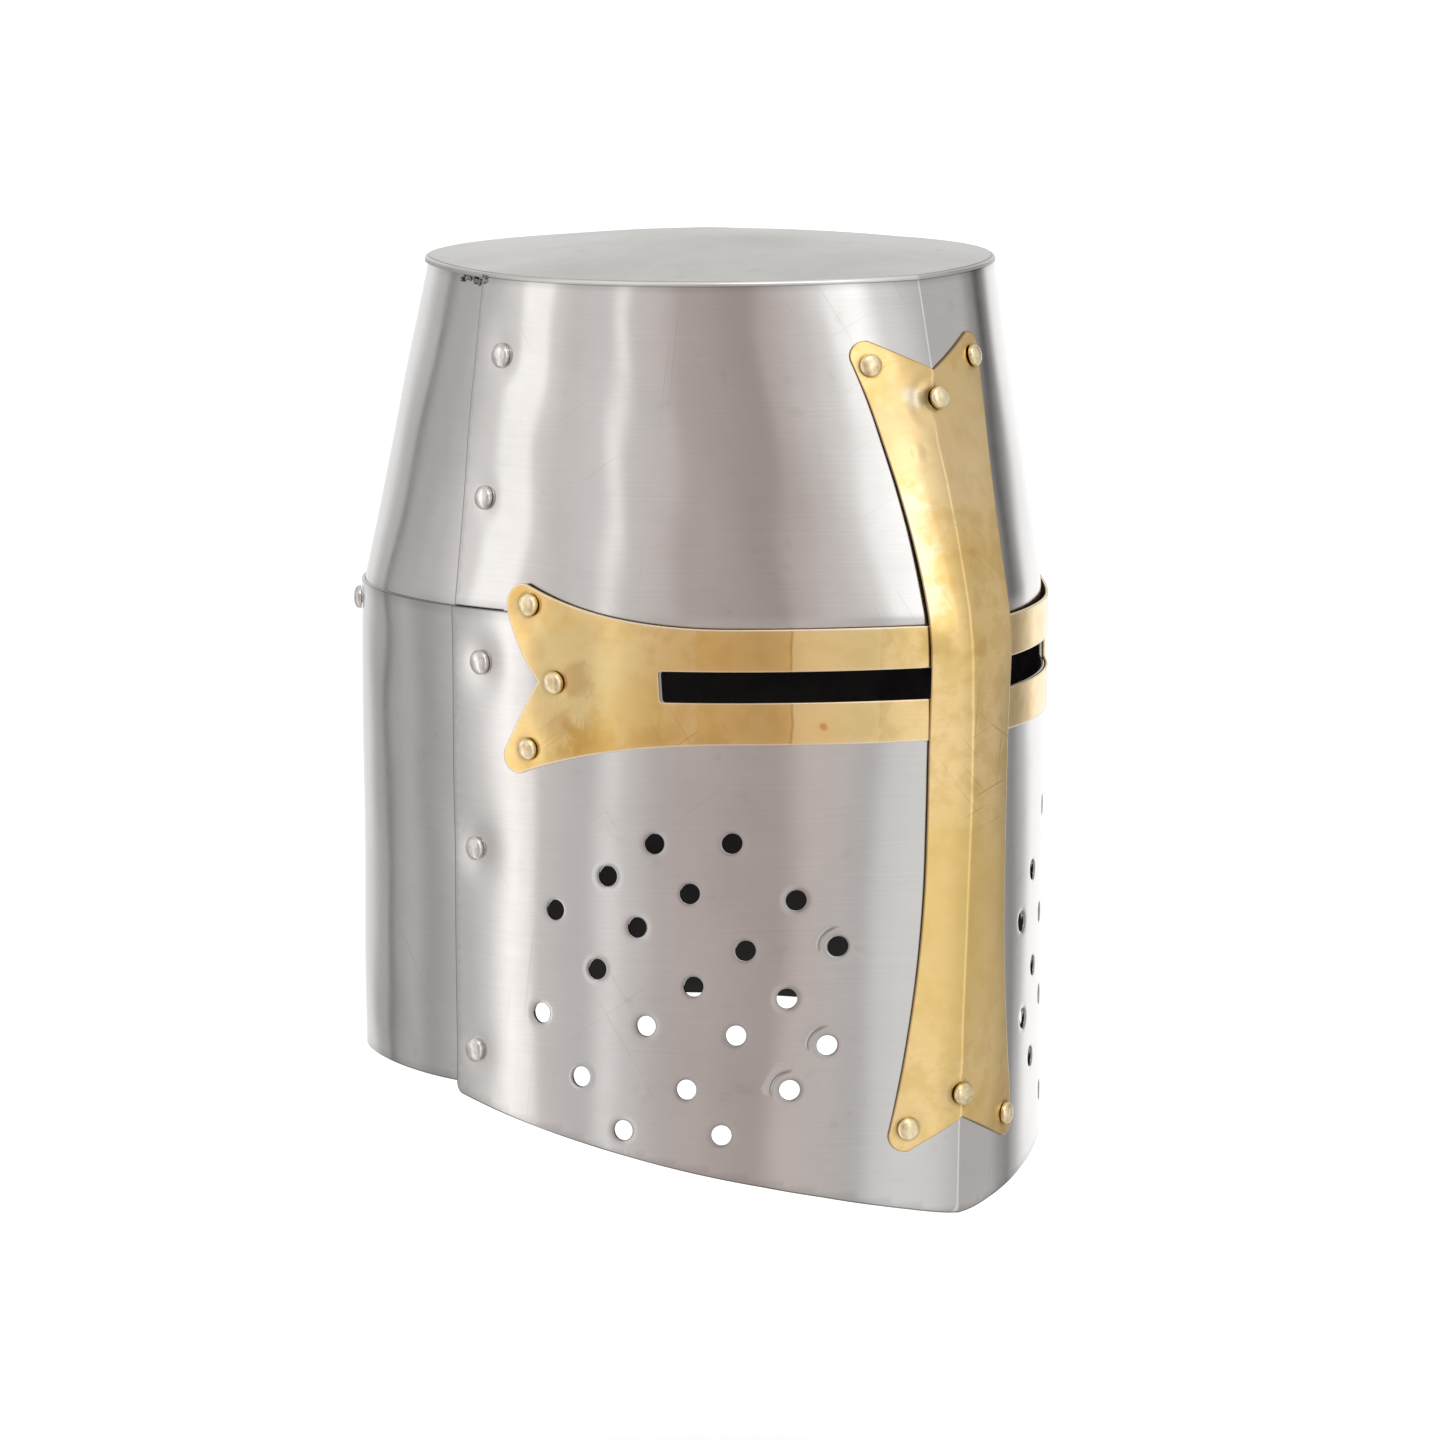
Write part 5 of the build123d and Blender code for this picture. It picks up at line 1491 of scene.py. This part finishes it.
def rivet_tree(name, material):
    """A Geometry Nodes tree that sets a rivet on every point, aimed along "outwards"."""
    sizes = {"Head radius": HEAD_RADIUS / 1000, "Head height": HEAD_HEIGHT / 1000,
             "Tail height": TAIL_HEIGHT / 1000, "Unevenness": 0.00009}
    tree, start, end = geometry_tree(name, sizes, 4)
    ball = node(tree, "GeometryNodeMeshUVSphere", {"Segments": 28, "Rings": len(profile) - 1, "Radius": 1.0})
    spot = node(tree, "ShaderNodeSeparateXYZ", {0: tree.nodes.new("GeometryNodeInputPosition").outputs[0]})
    bounded = sums(tree, "MINIMUM", sums(tree, "MAXIMUM", spot.outputs[2], -1.0), 1.0)
    fraction = sums(tree, "DIVIDE", sums(tree, "ARCCOSINE", bounded), math.pi)
    spoke = sums(tree, "SQRT", sums(tree, "ADD", sums(tree, "MULTIPLY", spot.outputs[0], spot.outputs[0]),
                                    sums(tree, "MULTIPLY", spot.outputs[1], spot.outputs[1])))
    spoke = sums(tree, "MAXIMUM", spoke, 0.000001)
    wide, high, below, deep = (ring_curve(tree, fraction, column) for column in zip(*profile))
    wide = sums(tree, "MULTIPLY", wide, start.outputs["Head radius"])
    high = sums(tree, "MULTIPLY", high, start.outputs["Head height"])
    deep = sums(tree, "MULTIPLY", deep, start.outputs["Tail height"])
    shaped = node(tree, "ShaderNodeCombineXYZ", {
        0: sums(tree, "MULTIPLY", sums(tree, "DIVIDE", spot.outputs[0], spoke), wide),
        1: sums(tree, "MULTIPLY", sums(tree, "DIVIDE", spot.outputs[1], spoke), wide),
        2: sums(tree, "SUBTRACT", high, deep)})
    marked = node(tree, "GeometryNodeStoreNamedAttribute", {"Geometry": ball.outputs[0], "Name": "below",
                                                            "Value": below},
                  data_type="FLOAT", domain="POINT")
    formed = node(tree, "GeometryNodeSetPosition", {"Geometry": marked.outputs[0],
                                                    "Position": shaped.outputs[0]})
    outwards = carried(tree, "outwards", "FLOAT_VECTOR")
    aimed = node(tree, "FunctionNodeAlignRotationToVector", {"Vector": outwards}, axis="Z")
    size = node(tree, "FunctionNodeRandomValue", {"Min": (0.97, 0.97, 0.95), "Max": (1.03, 1.03, 1.04),
                                                  "Seed": start.outputs["Seed"]}, data_type="FLOAT_VECTOR")
    seated = node(tree, "GeometryNodeInstanceOnPoints", {
        "Points": start.outputs["Geometry"], "Instance": formed.outputs[0], "Rotation": aimed.outputs[0],
        "Scale": size.outputs[0]})
    real = node(tree, "GeometryNodeRealizeInstances", {0: seated.outputs[0]})
    pull = sums(tree, "MULTIPLY", sums(tree, "MULTIPLY", carried(tree, "grip"), carried(tree, "below")), -1.0)
    pulled = node(tree, "ShaderNodeVectorMath", {0: outwards, "Scale": pull}, operation="SCALE")
    lowered = node(tree, "GeometryNodeSetPosition", {"Geometry": real.outputs[0],
                                                     "Offset": pulled.outputs[0]})
    coated = roughened(tree, lowered.outputs[0], start.outputs["Unevenness"], 420.0, material)
    wire(tree, coated, end.inputs[0])
    return tree


steel_rivets = rivet_tree("set steel rivets", rivet_steel)
brass_rivets = rivet_tree("set brass rivets", rivet_brass)
print("rivet tree nodes:", len(steel_rivets.nodes))

# %% Seats


def outwards_at(turn, height):
    """The direction square to the skin."""
    step = 0.5
    low, high = on_skin(turn, height - step), on_skin(turn, height + step)
    if height - step < 0 < height + step:
        low = on_skin(turn, height - 2 * step) if height <= 0 else on_skin(turn, height)
        high = on_skin(turn, height) if height <= 0 else on_skin(turn, height + 2 * step)
    along_up = (high - low) / np.linalg.norm(high - low)
    wrapped = turn - 360 * round(turn / 360)
    bearing = math.radians(180 - abs(wrapped))
    side = 1 if wrapped >= 0 else -1
    flat_normal = np.array([side * math.sin(bearing), math.cos(bearing), 0.0])
    flat_normal -= along_up * np.dot(flat_normal, along_up)
    return flat_normal / np.linalg.norm(flat_normal)


def rivets(node_name, seats, tree, slot, head_radius=HEAD_RADIUS):
    """Rivets at (turn, height, outer, inner): the skin's offsets under the head and the tail."""
    points, normals, grips = [], [], []
    for turn, height, outer, inner in seats:
        normal = outwards_at(turn, height)
        points.append(on_skin(turn, height) + normal * (outer + 0.05))
        normals.append(normal)
        grips.append((outer - inner + 0.25) / 1000)
    name = node_name + "_set"
    shape = bpy.data.meshes.new(name)
    shape.from_pydata(to_metres(points).tolist(), [], [])
    write(shape, "outwards", np.ravel(normals), "FLOAT_VECTOR", "vector")
    write(shape, "grip", grips)
    settled_piece = settled(linked(name, shape), tree, {"Head radius": head_radius / 1000})
    return set_down(settled_piece, slot, node_name)


BRASS_HEAD, WASHER_SEAT, WASHER_THICK = 3.8, -5.6, 0.8
washer_inner = WASHER_SEAT - WASHER_THICK
sunk = [float(seam_dishes(t + 1.3, z)) for t, z in upper_seam + lower_seam]
for side, word in ((-1, "right"), (1, "left")):
    seats = [(side * t, z, deep, inner)
             for (t, z), inner, deep in zip(upper_seam, (-2.5, washer_inner), sunk)]
    rivets("upper_seam_rivets_" + word, seats, steel_rivets, "rivet_steel")
    seats = [(side * t, z, 1.3 + deep, -1.2 + deep) for (t, z), deep in zip(lower_seam, sunk[2:])]
    rivets("lower_seam_rivets_" + word, seats, steel_rivets, "rivet_steel")
    seats = [(side * t, z, 2.4, inner) for (t, z), inner in zip(bar_places, (-1.2, 0.1, 0.1))]
    rivets("cross_bar_rivets_" + word, seats, brass_rivets, "rivet_brass", BRASS_HEAD)
rivets("back_rivets", [(t, z, 0.0, washer_inner) for t, z in back_places], steel_rivets, "rivet_steel")
hollow = 3.0 * math.tan(math.radians(12))
top_seats = [(t, z, float(upright_grow(z)) - (0.3 if t else 0.9), -1.2 - (0 if t else hollow))
             for t, z in top_places]
foot_seats = [(t, z, float(upright_grow(z)) - (0.3 if t else 0.7), 0.1 - (0 if t else hollow))
              for t, z in foot_places]
rivets("cross_top_rivets", top_seats, brass_rivets, "rivet_brass", BRASS_HEAD)
rivets("cross_foot_rivets", foot_seats, brass_rivets, "rivet_brass", BRASS_HEAD)

# %% [markdown]
# ## The liner
# Inside, a leather band is riveted to the walls at brow height over washers. Eight tongues rise from
# it and a lace draws their tips together, so that the helm hangs on the head. Across the brow the
# band leaves the ridge and runs round, which is a plan of its own with four arcs.

# %% Band
BAND_FOOT, BAND_TOP, BAND_OUTER, BAND_THICK, BROW_BEARING = -11.5, 54.0, -2.6, 2.8, 93.0


def brow_plan():
    """The plan of the band: back, side and cheek arcs, then one round arc across the brow."""
    plan = dict(joints=np.array((0, JOINTS[1], JOINTS[2], BROW_BEARING, 180.0)))
    for name in ("crown", "waist", "neck"):
        radii, reach = PLAN[name]
        turn = np.sin(np.radians(plan["joints"]))
        x = (radii[0] - radii[1]) * turn[1] + (radii[1] - radii[2]) * turn[2] + radii[2] * turn[3]
        plan[name] = (np.array((radii[0], radii[1], radii[2], x / turn[3])), reach)
    return plan


BROW_PLAN = brow_plan()
band_turns = np.linspace(0, 360, 361)[:-1]


def band_ring(turn):
    """The rounded section of the band at one turn."""
    soft = 0.9
    section = []
    for cx, cz, a0 in ((-soft, BAND_TOP - soft, 0), (-BAND_THICK + soft, BAND_TOP - soft, 90),
                       (-BAND_THICK + soft, BAND_FOOT + soft, 180), (-soft, BAND_FOOT + soft, 270)):
        for a in np.radians(np.linspace(a0, a0 + 90, 5)):
            section.append((cx + soft * math.cos(a), cz + soft * math.sin(a)))
        if a0 in (90, 270):
            ends = (BAND_TOP - soft, BAND_FOOT + soft) if a0 == 90 else (BAND_FOOT + soft, BAND_TOP - soft)
            for share in (0.2, 0.4, 0.6, 0.8):
                away = -BAND_THICK if a0 == 90 else 0.0
                section.append((away, ends[0] + share * (ends[1] - ends[0])))
    section = np.array(section)
    return on_skin(np.full(len(section), turn), section[:, 1], BAND_OUTER + section[:, 0], BROW_PLAN)


band = turned_out(loft("liner_band_sewn", [band_ring(t) for t in band_turns], band_leather, closed_path=True))
set_down(band, "liner_leather", "liner_band")

# %% Tongues
TONGUE_THICK, TONGUE_LAP, TONGUE_RISE, TONGUE_TIP = 2.4, 10.0, 40.0, 11.5
TONGUE_OUTER = BAND_OUTER - BAND_THICK - 0.1
tongue_plan = (0.985, 0.94, 0.83, 0.65, 0.42, 0.12)
tongue_rise = (0.22, 0.48, 0.72, 0.89, 0.975, 1.0)
shell_turns = np.linspace(0, 360, 1441)[:-1]
foot_plan = on_skin(shell_turns, BAND_TOP - TONGUE_LAP, TONGUE_OUTER, BROW_PLAN)
base_plan = on_skin(shell_turns, BAND_TOP, TONGUE_OUTER, BROW_PLAN)
shell_middle = (base_plan[:, 1].min() + base_plan[:, 1].max()) / 2


def shell_ring(along):
    """The shell's plan at a share of the way up it: 0 at the foot, 1 at the base, 2 and on the dome."""
    if along <= 1:
        return foot_plan + (base_plan - foot_plan) * along
    shares = np.interp(along, np.arange(1, 8), (1,) + tongue_plan)
    rise = np.interp(along, np.arange(1, 8), (0,) + tongue_rise)
    centre = np.array([0, shell_middle, 0])
    ring = (base_plan - centre) * np.array([shares, shares, 1]) + centre
    ring[:, 2] = BAND_TOP + TONGUE_RISE * rise
    return ring


def smooth_ring(along):
    """The same, softened over its neighbours so that the petal is a smooth curve."""
    around_it = [(-0.45, 1), (-0.2, 2), (0, 3), (0.2, 2), (0.45, 1)]
    if along <= 0.5 or along > 6.5:
        return shell_ring(min(along, 7))
    return sum(shell_ring(min(along + d, 7)) * w for d, w in around_it) / 9


PETAL_REACH = waist_radii[0]
petal_stops = (TONGUE_TIP, PETAL_REACH * 0.55, PETAL_REACH * 2)
petal_halves = [reach * math.tan(math.radians(22.5)) * share
                for reach, share in zip(petal_stops, (0.8, 0.9, 0.84))]


def petal_half_width(reach):
    """Half the petal's width at a distance from the middle."""
    return np.interp(reach, petal_stops, petal_halves)


def petal(index):
    """One tongue as a loft of rounded sections from its foot to its tip."""
    angle = math.radians((index + 0.5) * 45)
    out = np.array([math.cos(angle), math.sin(angle), 0])
    aside = np.array([-math.sin(angle), math.cos(angle), 0])
    stations = np.concatenate([np.linspace(0, 1, 5), np.linspace(1, 6.9, 34)[1:]])
    shares = np.linspace(-1, 1, 17)
    rows = []
    for along in stations:
        ring = smooth_ring(along)
        local = ring - np.array([0, shell_middle, 0])
        reach, offset = local @ out, local @ aside
        order = np.argsort(offset[reach > 0])
        offsets, reaches, heights = (v[reach > 0][order] for v in (offset, reach, local[:, 2]))
        half = petal_half_width(np.interp(0, offsets, reaches))
        if half > offsets.max() or np.interp(0, offsets, reaches) < TONGUE_TIP:
            break
        at = shares * half
        for _ in range(3):
            at = shares * petal_half_width(np.interp(at, offsets, reaches))
        row = out * np.interp(at, offsets, reaches)[:, None] + aside * at[:, None]
        row[:, 2] = np.interp(at, offsets, heights)
        row[:, 1] += shell_middle
        rows.append(row)
    grid = np.array(rows)
    along_way = np.gradient(grid, axis=0)
    across_way = np.gradient(grid, axis=1)
    normal = np.cross(across_way, along_way)
    normal /= np.linalg.norm(normal, axis=2, keepdims=True)
    towards_middle = np.array([0, shell_middle, 40.0]) - grid
    normal *= np.sign(np.sum(normal * towards_middle, 2, keepdims=True))
    rings = []
    for row, inwards in zip(grid, normal):
        thick, soft = TONGUE_THICK, 0.55
        edge_in = (row[1] - row[0]) / np.linalg.norm(row[1] - row[0])
        edge_out = (row[-2] - row[-1]) / np.linalg.norm(row[-2] - row[-1])
        outer = [row[0] + edge_in * soft] + list(row[1:-1]) + [row[-1] + edge_out * soft]
        ring = list(outer)
        ring += [row[-1] + inwards[-1] * soft, row[-1] + inwards[-1] * (thick - soft)]
        ring += [p + n * thick for p, n in zip(reversed(outer), inwards[::-1])]
        ring += [row[0] + inwards[0] * (thick - soft), row[0] + inwards[0] * soft]
        rings.append(np.array(ring))
    made = turned_out(loft("liner_tongue_" + str(index + 1) + "_cut", rings, tongue_leather))
    return set_down(made, "liner_leather", "liner_tongue_" + str(index + 1)), grid, normal


petals = [petal(index) for index in range(8)]

# %% Stitches


def stitch_row(points):
    """Middles and directions of the stitches along a row of points, one stitch and one gap at a time."""
    points = np.asarray(points)
    run = np.concatenate([[0], np.cumsum(np.linalg.norm(np.diff(points, axis=0), axis=1))])
    at = np.arange(2.0, run[-1] - 1.0, 4.4)
    middles, ahead = (np.stack([np.interp(at + further, run, points[:, axis]) for axis in range(3)], -1)
                      for further in (0, 0.5))
    return middles, ahead - middles


round_trip = np.linspace(0, 360, 721)
stitch_rows = [on_skin(round_trip, z, BAND_OUTER - BAND_THICK - 0.05, BROW_PLAN)
               for z in (BAND_TOP - 4.5, BAND_FOOT + 4.5)]
stitch_rows += [grid[2, 2:-2] + normal[2, 2:-2] * (TONGUE_THICK + 0.1) for _, grid, normal in petals]
stitch_middles, stitch_ways = (np.concatenate(part) for part in zip(*map(stitch_row, stitch_rows)))
stitches = beads("liner_stitches", stitch_middles, stitch_ways,
                 bead_tree("waxed stitches", thread, 8, 0.00045, 9, (3.6, 1.0, 1.0)))
set_down(stitches, "lace")

# %% Lace
LACE_RING, LACE_RADIUS = 15.4, 1.4
lace_height = BAND_TOP + TONGUE_RISE + LACE_RADIUS + 0.05
lace_rings = []
for a in np.linspace(0, 2 * math.pi, 145)[:-1]:
    wobble_r, wobble_z = 0.35 * math.sin(8 * a), 0.15 * math.sin(8 * a + 1)
    spoke = np.array([math.cos(a), math.sin(a), 0])
    centre = spoke * (LACE_RING + wobble_r) + np.array([0, shell_middle, lace_height + wobble_z])
    lace_rings.append([centre + (LACE_RADIUS - 0.12 + 0.12 * math.cos(3 * b + 30 * a))
                       * (spoke * math.cos(b) + np.array([0, 0, 1]) * math.sin(b))
                       for b in np.linspace(0, 2 * math.pi, 17)[:-1]])
lace = turned_out(loft("liner_lace_drawn", lace_rings, lace_leather, closed_path=True))
set_down(lace, "lace", "liner_lace")

# %% Washers


def washer_ring(seat, share):
    """One ring of a washer's rounded section."""
    turn, height = seat
    normal = outwards_at(turn, height)
    centre = on_skin(turn, height) + normal * (WASHER_SEAT - WASHER_THICK / 2)
    aside = np.cross(normal, (0, 0, 1.0))
    aside /= np.linalg.norm(aside)
    spoke = aside * math.cos(share * 2 * math.pi) + np.cross(normal, aside) * math.sin(share * 2 * math.pi)
    section = [(2.15, -0.4), (2.05, -0.25), (2.05, 0.25), (2.15, 0.4),
               (5.0, 0.4), (5.2, 0.2), (5.2, -0.2), (5.0, -0.4)]
    return [centre + spoke * r + normal * h for r, h in section]


washer_parts = []
washer_seats = [(side * upper_seam[1][0], upper_seam[1][1]) for side in (-1, 1)] + back_places
for number, seat in enumerate(washer_seats):
    washer_parts.append(loft("washer_" + str(number), [washer_ring(seat, k / 28) for k in range(28)],
                             washer_steel, closed_path=True))
with bpy.context.temp_override(active_object=washer_parts[0], selected_editable_objects=washer_parts,
                               object=washer_parts[0]):
    bpy.ops.object.join()
washers = turned_out(washer_parts[0])
washers.name = "liner_washers_set"
set_down(washers, "rivet_steel", "liner_washers")

# %% [markdown]
# ## Studio
# The photograph was taken in a white room with grey and dark panels standing round the helm, which
# the brushed steel shows as soft vertical bands. The world draws those panels as two rings of greys,
# one above the horizon for the leaning upper walls and one below it for the lower walls. Each panel
# is a direction in degrees, its two greys, and how warm it is. A camera ray sees plain white instead.

# %% World
RING = (
    (-180, 0.27, 0.22, 0.1), (-174, 0.58, 0.52, 0.1), (-168, 0.61, 0.62, 0.1), (-158, 0.72, 0.48, 0.1),
    (-139, 1.08, 0.70, 0.2), (-135.5, 1.56, 0.84, 0.1), (-123.5, 1.5, 1.66, 0.2), (-120.5, 1.0, 1.52, 0.3),
    (-117, 0.93, 1.40, 0.3), (-113, 0.88, 0.87, 0.4), (-99, 0.93, 0.74, 0.2), (-93.5, 1.34, 1.1, 0.2),
    (-89, 0.86, 0.85, 0.3), (-80, 0.83, 0.69, 0.6), (-72, 0.64, 0.70, 1), (-50, 0.49, 0.59, 1),
    (-44, 0.68, 0.8, 0.9), (-36, 0.83, 0.76, 0.5), (-28, 1.03, 0.68, 0.2), (-21, 1.57, 0.92, 0),
    (-14, 1.76, 0.99, 0), (-6, 1.06, 1.0, 0), (18, 0.72, 0.8, 0), (27, 1.25, 1.25, 0),
    (36, 0.68, 0.68, 0.1), (87, 0.67, 0.67, 0.1), (95, 0.41, 0.45, 0), (101, 0.1, 0.32, 0),
    (106, 0.17, 0.6, 0), (116, 0.95, 1.26, 0), (165, 1.1, 0.9, 0), (175, 0.66, 0.52, 0),
)
world = bpy.data.worlds.new("studio")
bpy.context.scene.world = world
world.use_nodes = True
sky = world.node_tree
sky.nodes.clear()
direction = node(sky, "ShaderNodeSeparateXYZ", {0: sky.nodes.new("ShaderNodeTexCoord").outputs["Generated"]})
azimuth = sums(sky, "ARCTAN2", direction.outputs[0], sums(sky, "MULTIPLY", direction.outputs[1], -1.0))
fraction = sums(sky, "ADD", sums(sky, "DIVIDE", azimuth, 2 * math.pi), 0.5)


def panel_ring(column):
    """A ramp of panel greys round the horizon; warm panels are a little short of green and blue."""
    ramp = node(sky, "ShaderNodeValToRGB", {0: fraction})
    ramp.color_ramp.interpolation = "EASE"
    elements = ramp.color_ramp.elements
    while len(elements) > 1:
        elements.remove(elements[-1])
    for number, panel in enumerate(RING):
        angle, grey, warmth = panel[0], panel[column], panel[3]
        element = elements[0] if number == 0 else elements.new((angle + 180) / 360)
        element.position = (angle + 180) / 360
        element.color = (grey, grey * (1 - 0.126 * warmth), grey * (1 - 0.155 * warmth), 1)
    return ramp.outputs[0]


raised = smooth_step(sky, direction.outputs[2], -0.08, 0.03)
ring = mix_colour(sky, raised, panel_ring(2), panel_ring(1))
overhead = smooth_step(sky, direction.outputs[2], 0.42, 0.8)
seen = mix_colour(sky, overhead, ring, (0.85, 0.85, 0.85))
panels = node(sky, "ShaderNodeBackground", {"Color": seen, "Strength": 1.0})
plain = node(sky, "ShaderNodeBackground", {"Color": (1, 1, 1, 1), "Strength": 1.0})
rays = sky.nodes.new("ShaderNodeLightPath")
through = sums(sky, "MAXIMUM", rays.outputs["Is Camera Ray"], rays.outputs["Is Transmission Ray"])
both_skies = node(sky, "ShaderNodeMixShader", {0: through, 1: panels.outputs[0], 2: plain.outputs[0]})
out = node(sky, "ShaderNodeOutputWorld", {0: both_skies.outputs[0]})
print("panels in the ring:", len(RING))

# %% Floor and lamp
floor_shape = bpy.data.meshes.new("floor")
FLOOR_HALF, FLOOR_HEIGHT = 12, -0.12
floor_corners = [(x * FLOOR_HALF, y * FLOOR_HALF, FLOOR_HEIGHT)
                 for x, y in ((-1, -1), (1, -1), (1, 1), (-1, 1))]
floor_shape.from_pydata(floor_corners, [], [(0, 1, 2, 3)])
floor = linked("floor", floor_shape)
floor_paint = bpy.data.materials.new("white floor")
floor_paint.use_nodes = True
paint = floor_paint.node_tree
paint.nodes.clear()
matte = node(paint, "ShaderNodeBsdfDiffuse", {"Color": (0.82, 0.82, 0.82, 1)})
own_light = node(paint, "ShaderNodeEmission", {"Color": (1, 1, 1, 1), "Strength": 0.45})
summed = node(paint, "ShaderNodeAddShader", {0: matte.outputs[0], 1: own_light.outputs[0]})
ray = paint.nodes.new("ShaderNodeLightPath")
choice = node(paint, "ShaderNodeMixShader", {0: ray.outputs["Is Camera Ray"], 1: matte.outputs[0],
                                             2: summed.outputs[0]})
node(paint, "ShaderNodeOutputMaterial", {0: choice.outputs[0]})
floor_shape.materials.append(floor_paint)
floor.visible_glossy = False
lamp_data = bpy.data.lights.new("soft box", "AREA")
lamp_data.energy, lamp_data.size = 9.0, 1.6
lamp = linked("soft box", lamp_data)
lamp.location = (-0.9, -1.3, 2.4)
lamp.rotation_euler = (Vector((0, 0, 0.15)) - Vector(lamp.location)).to_track_quat("-Z", "Y").to_euler()
bpy.context.scene.view_settings.view_transform = "Standard"
print("floor", floor.name, "lamp", lamp.name)
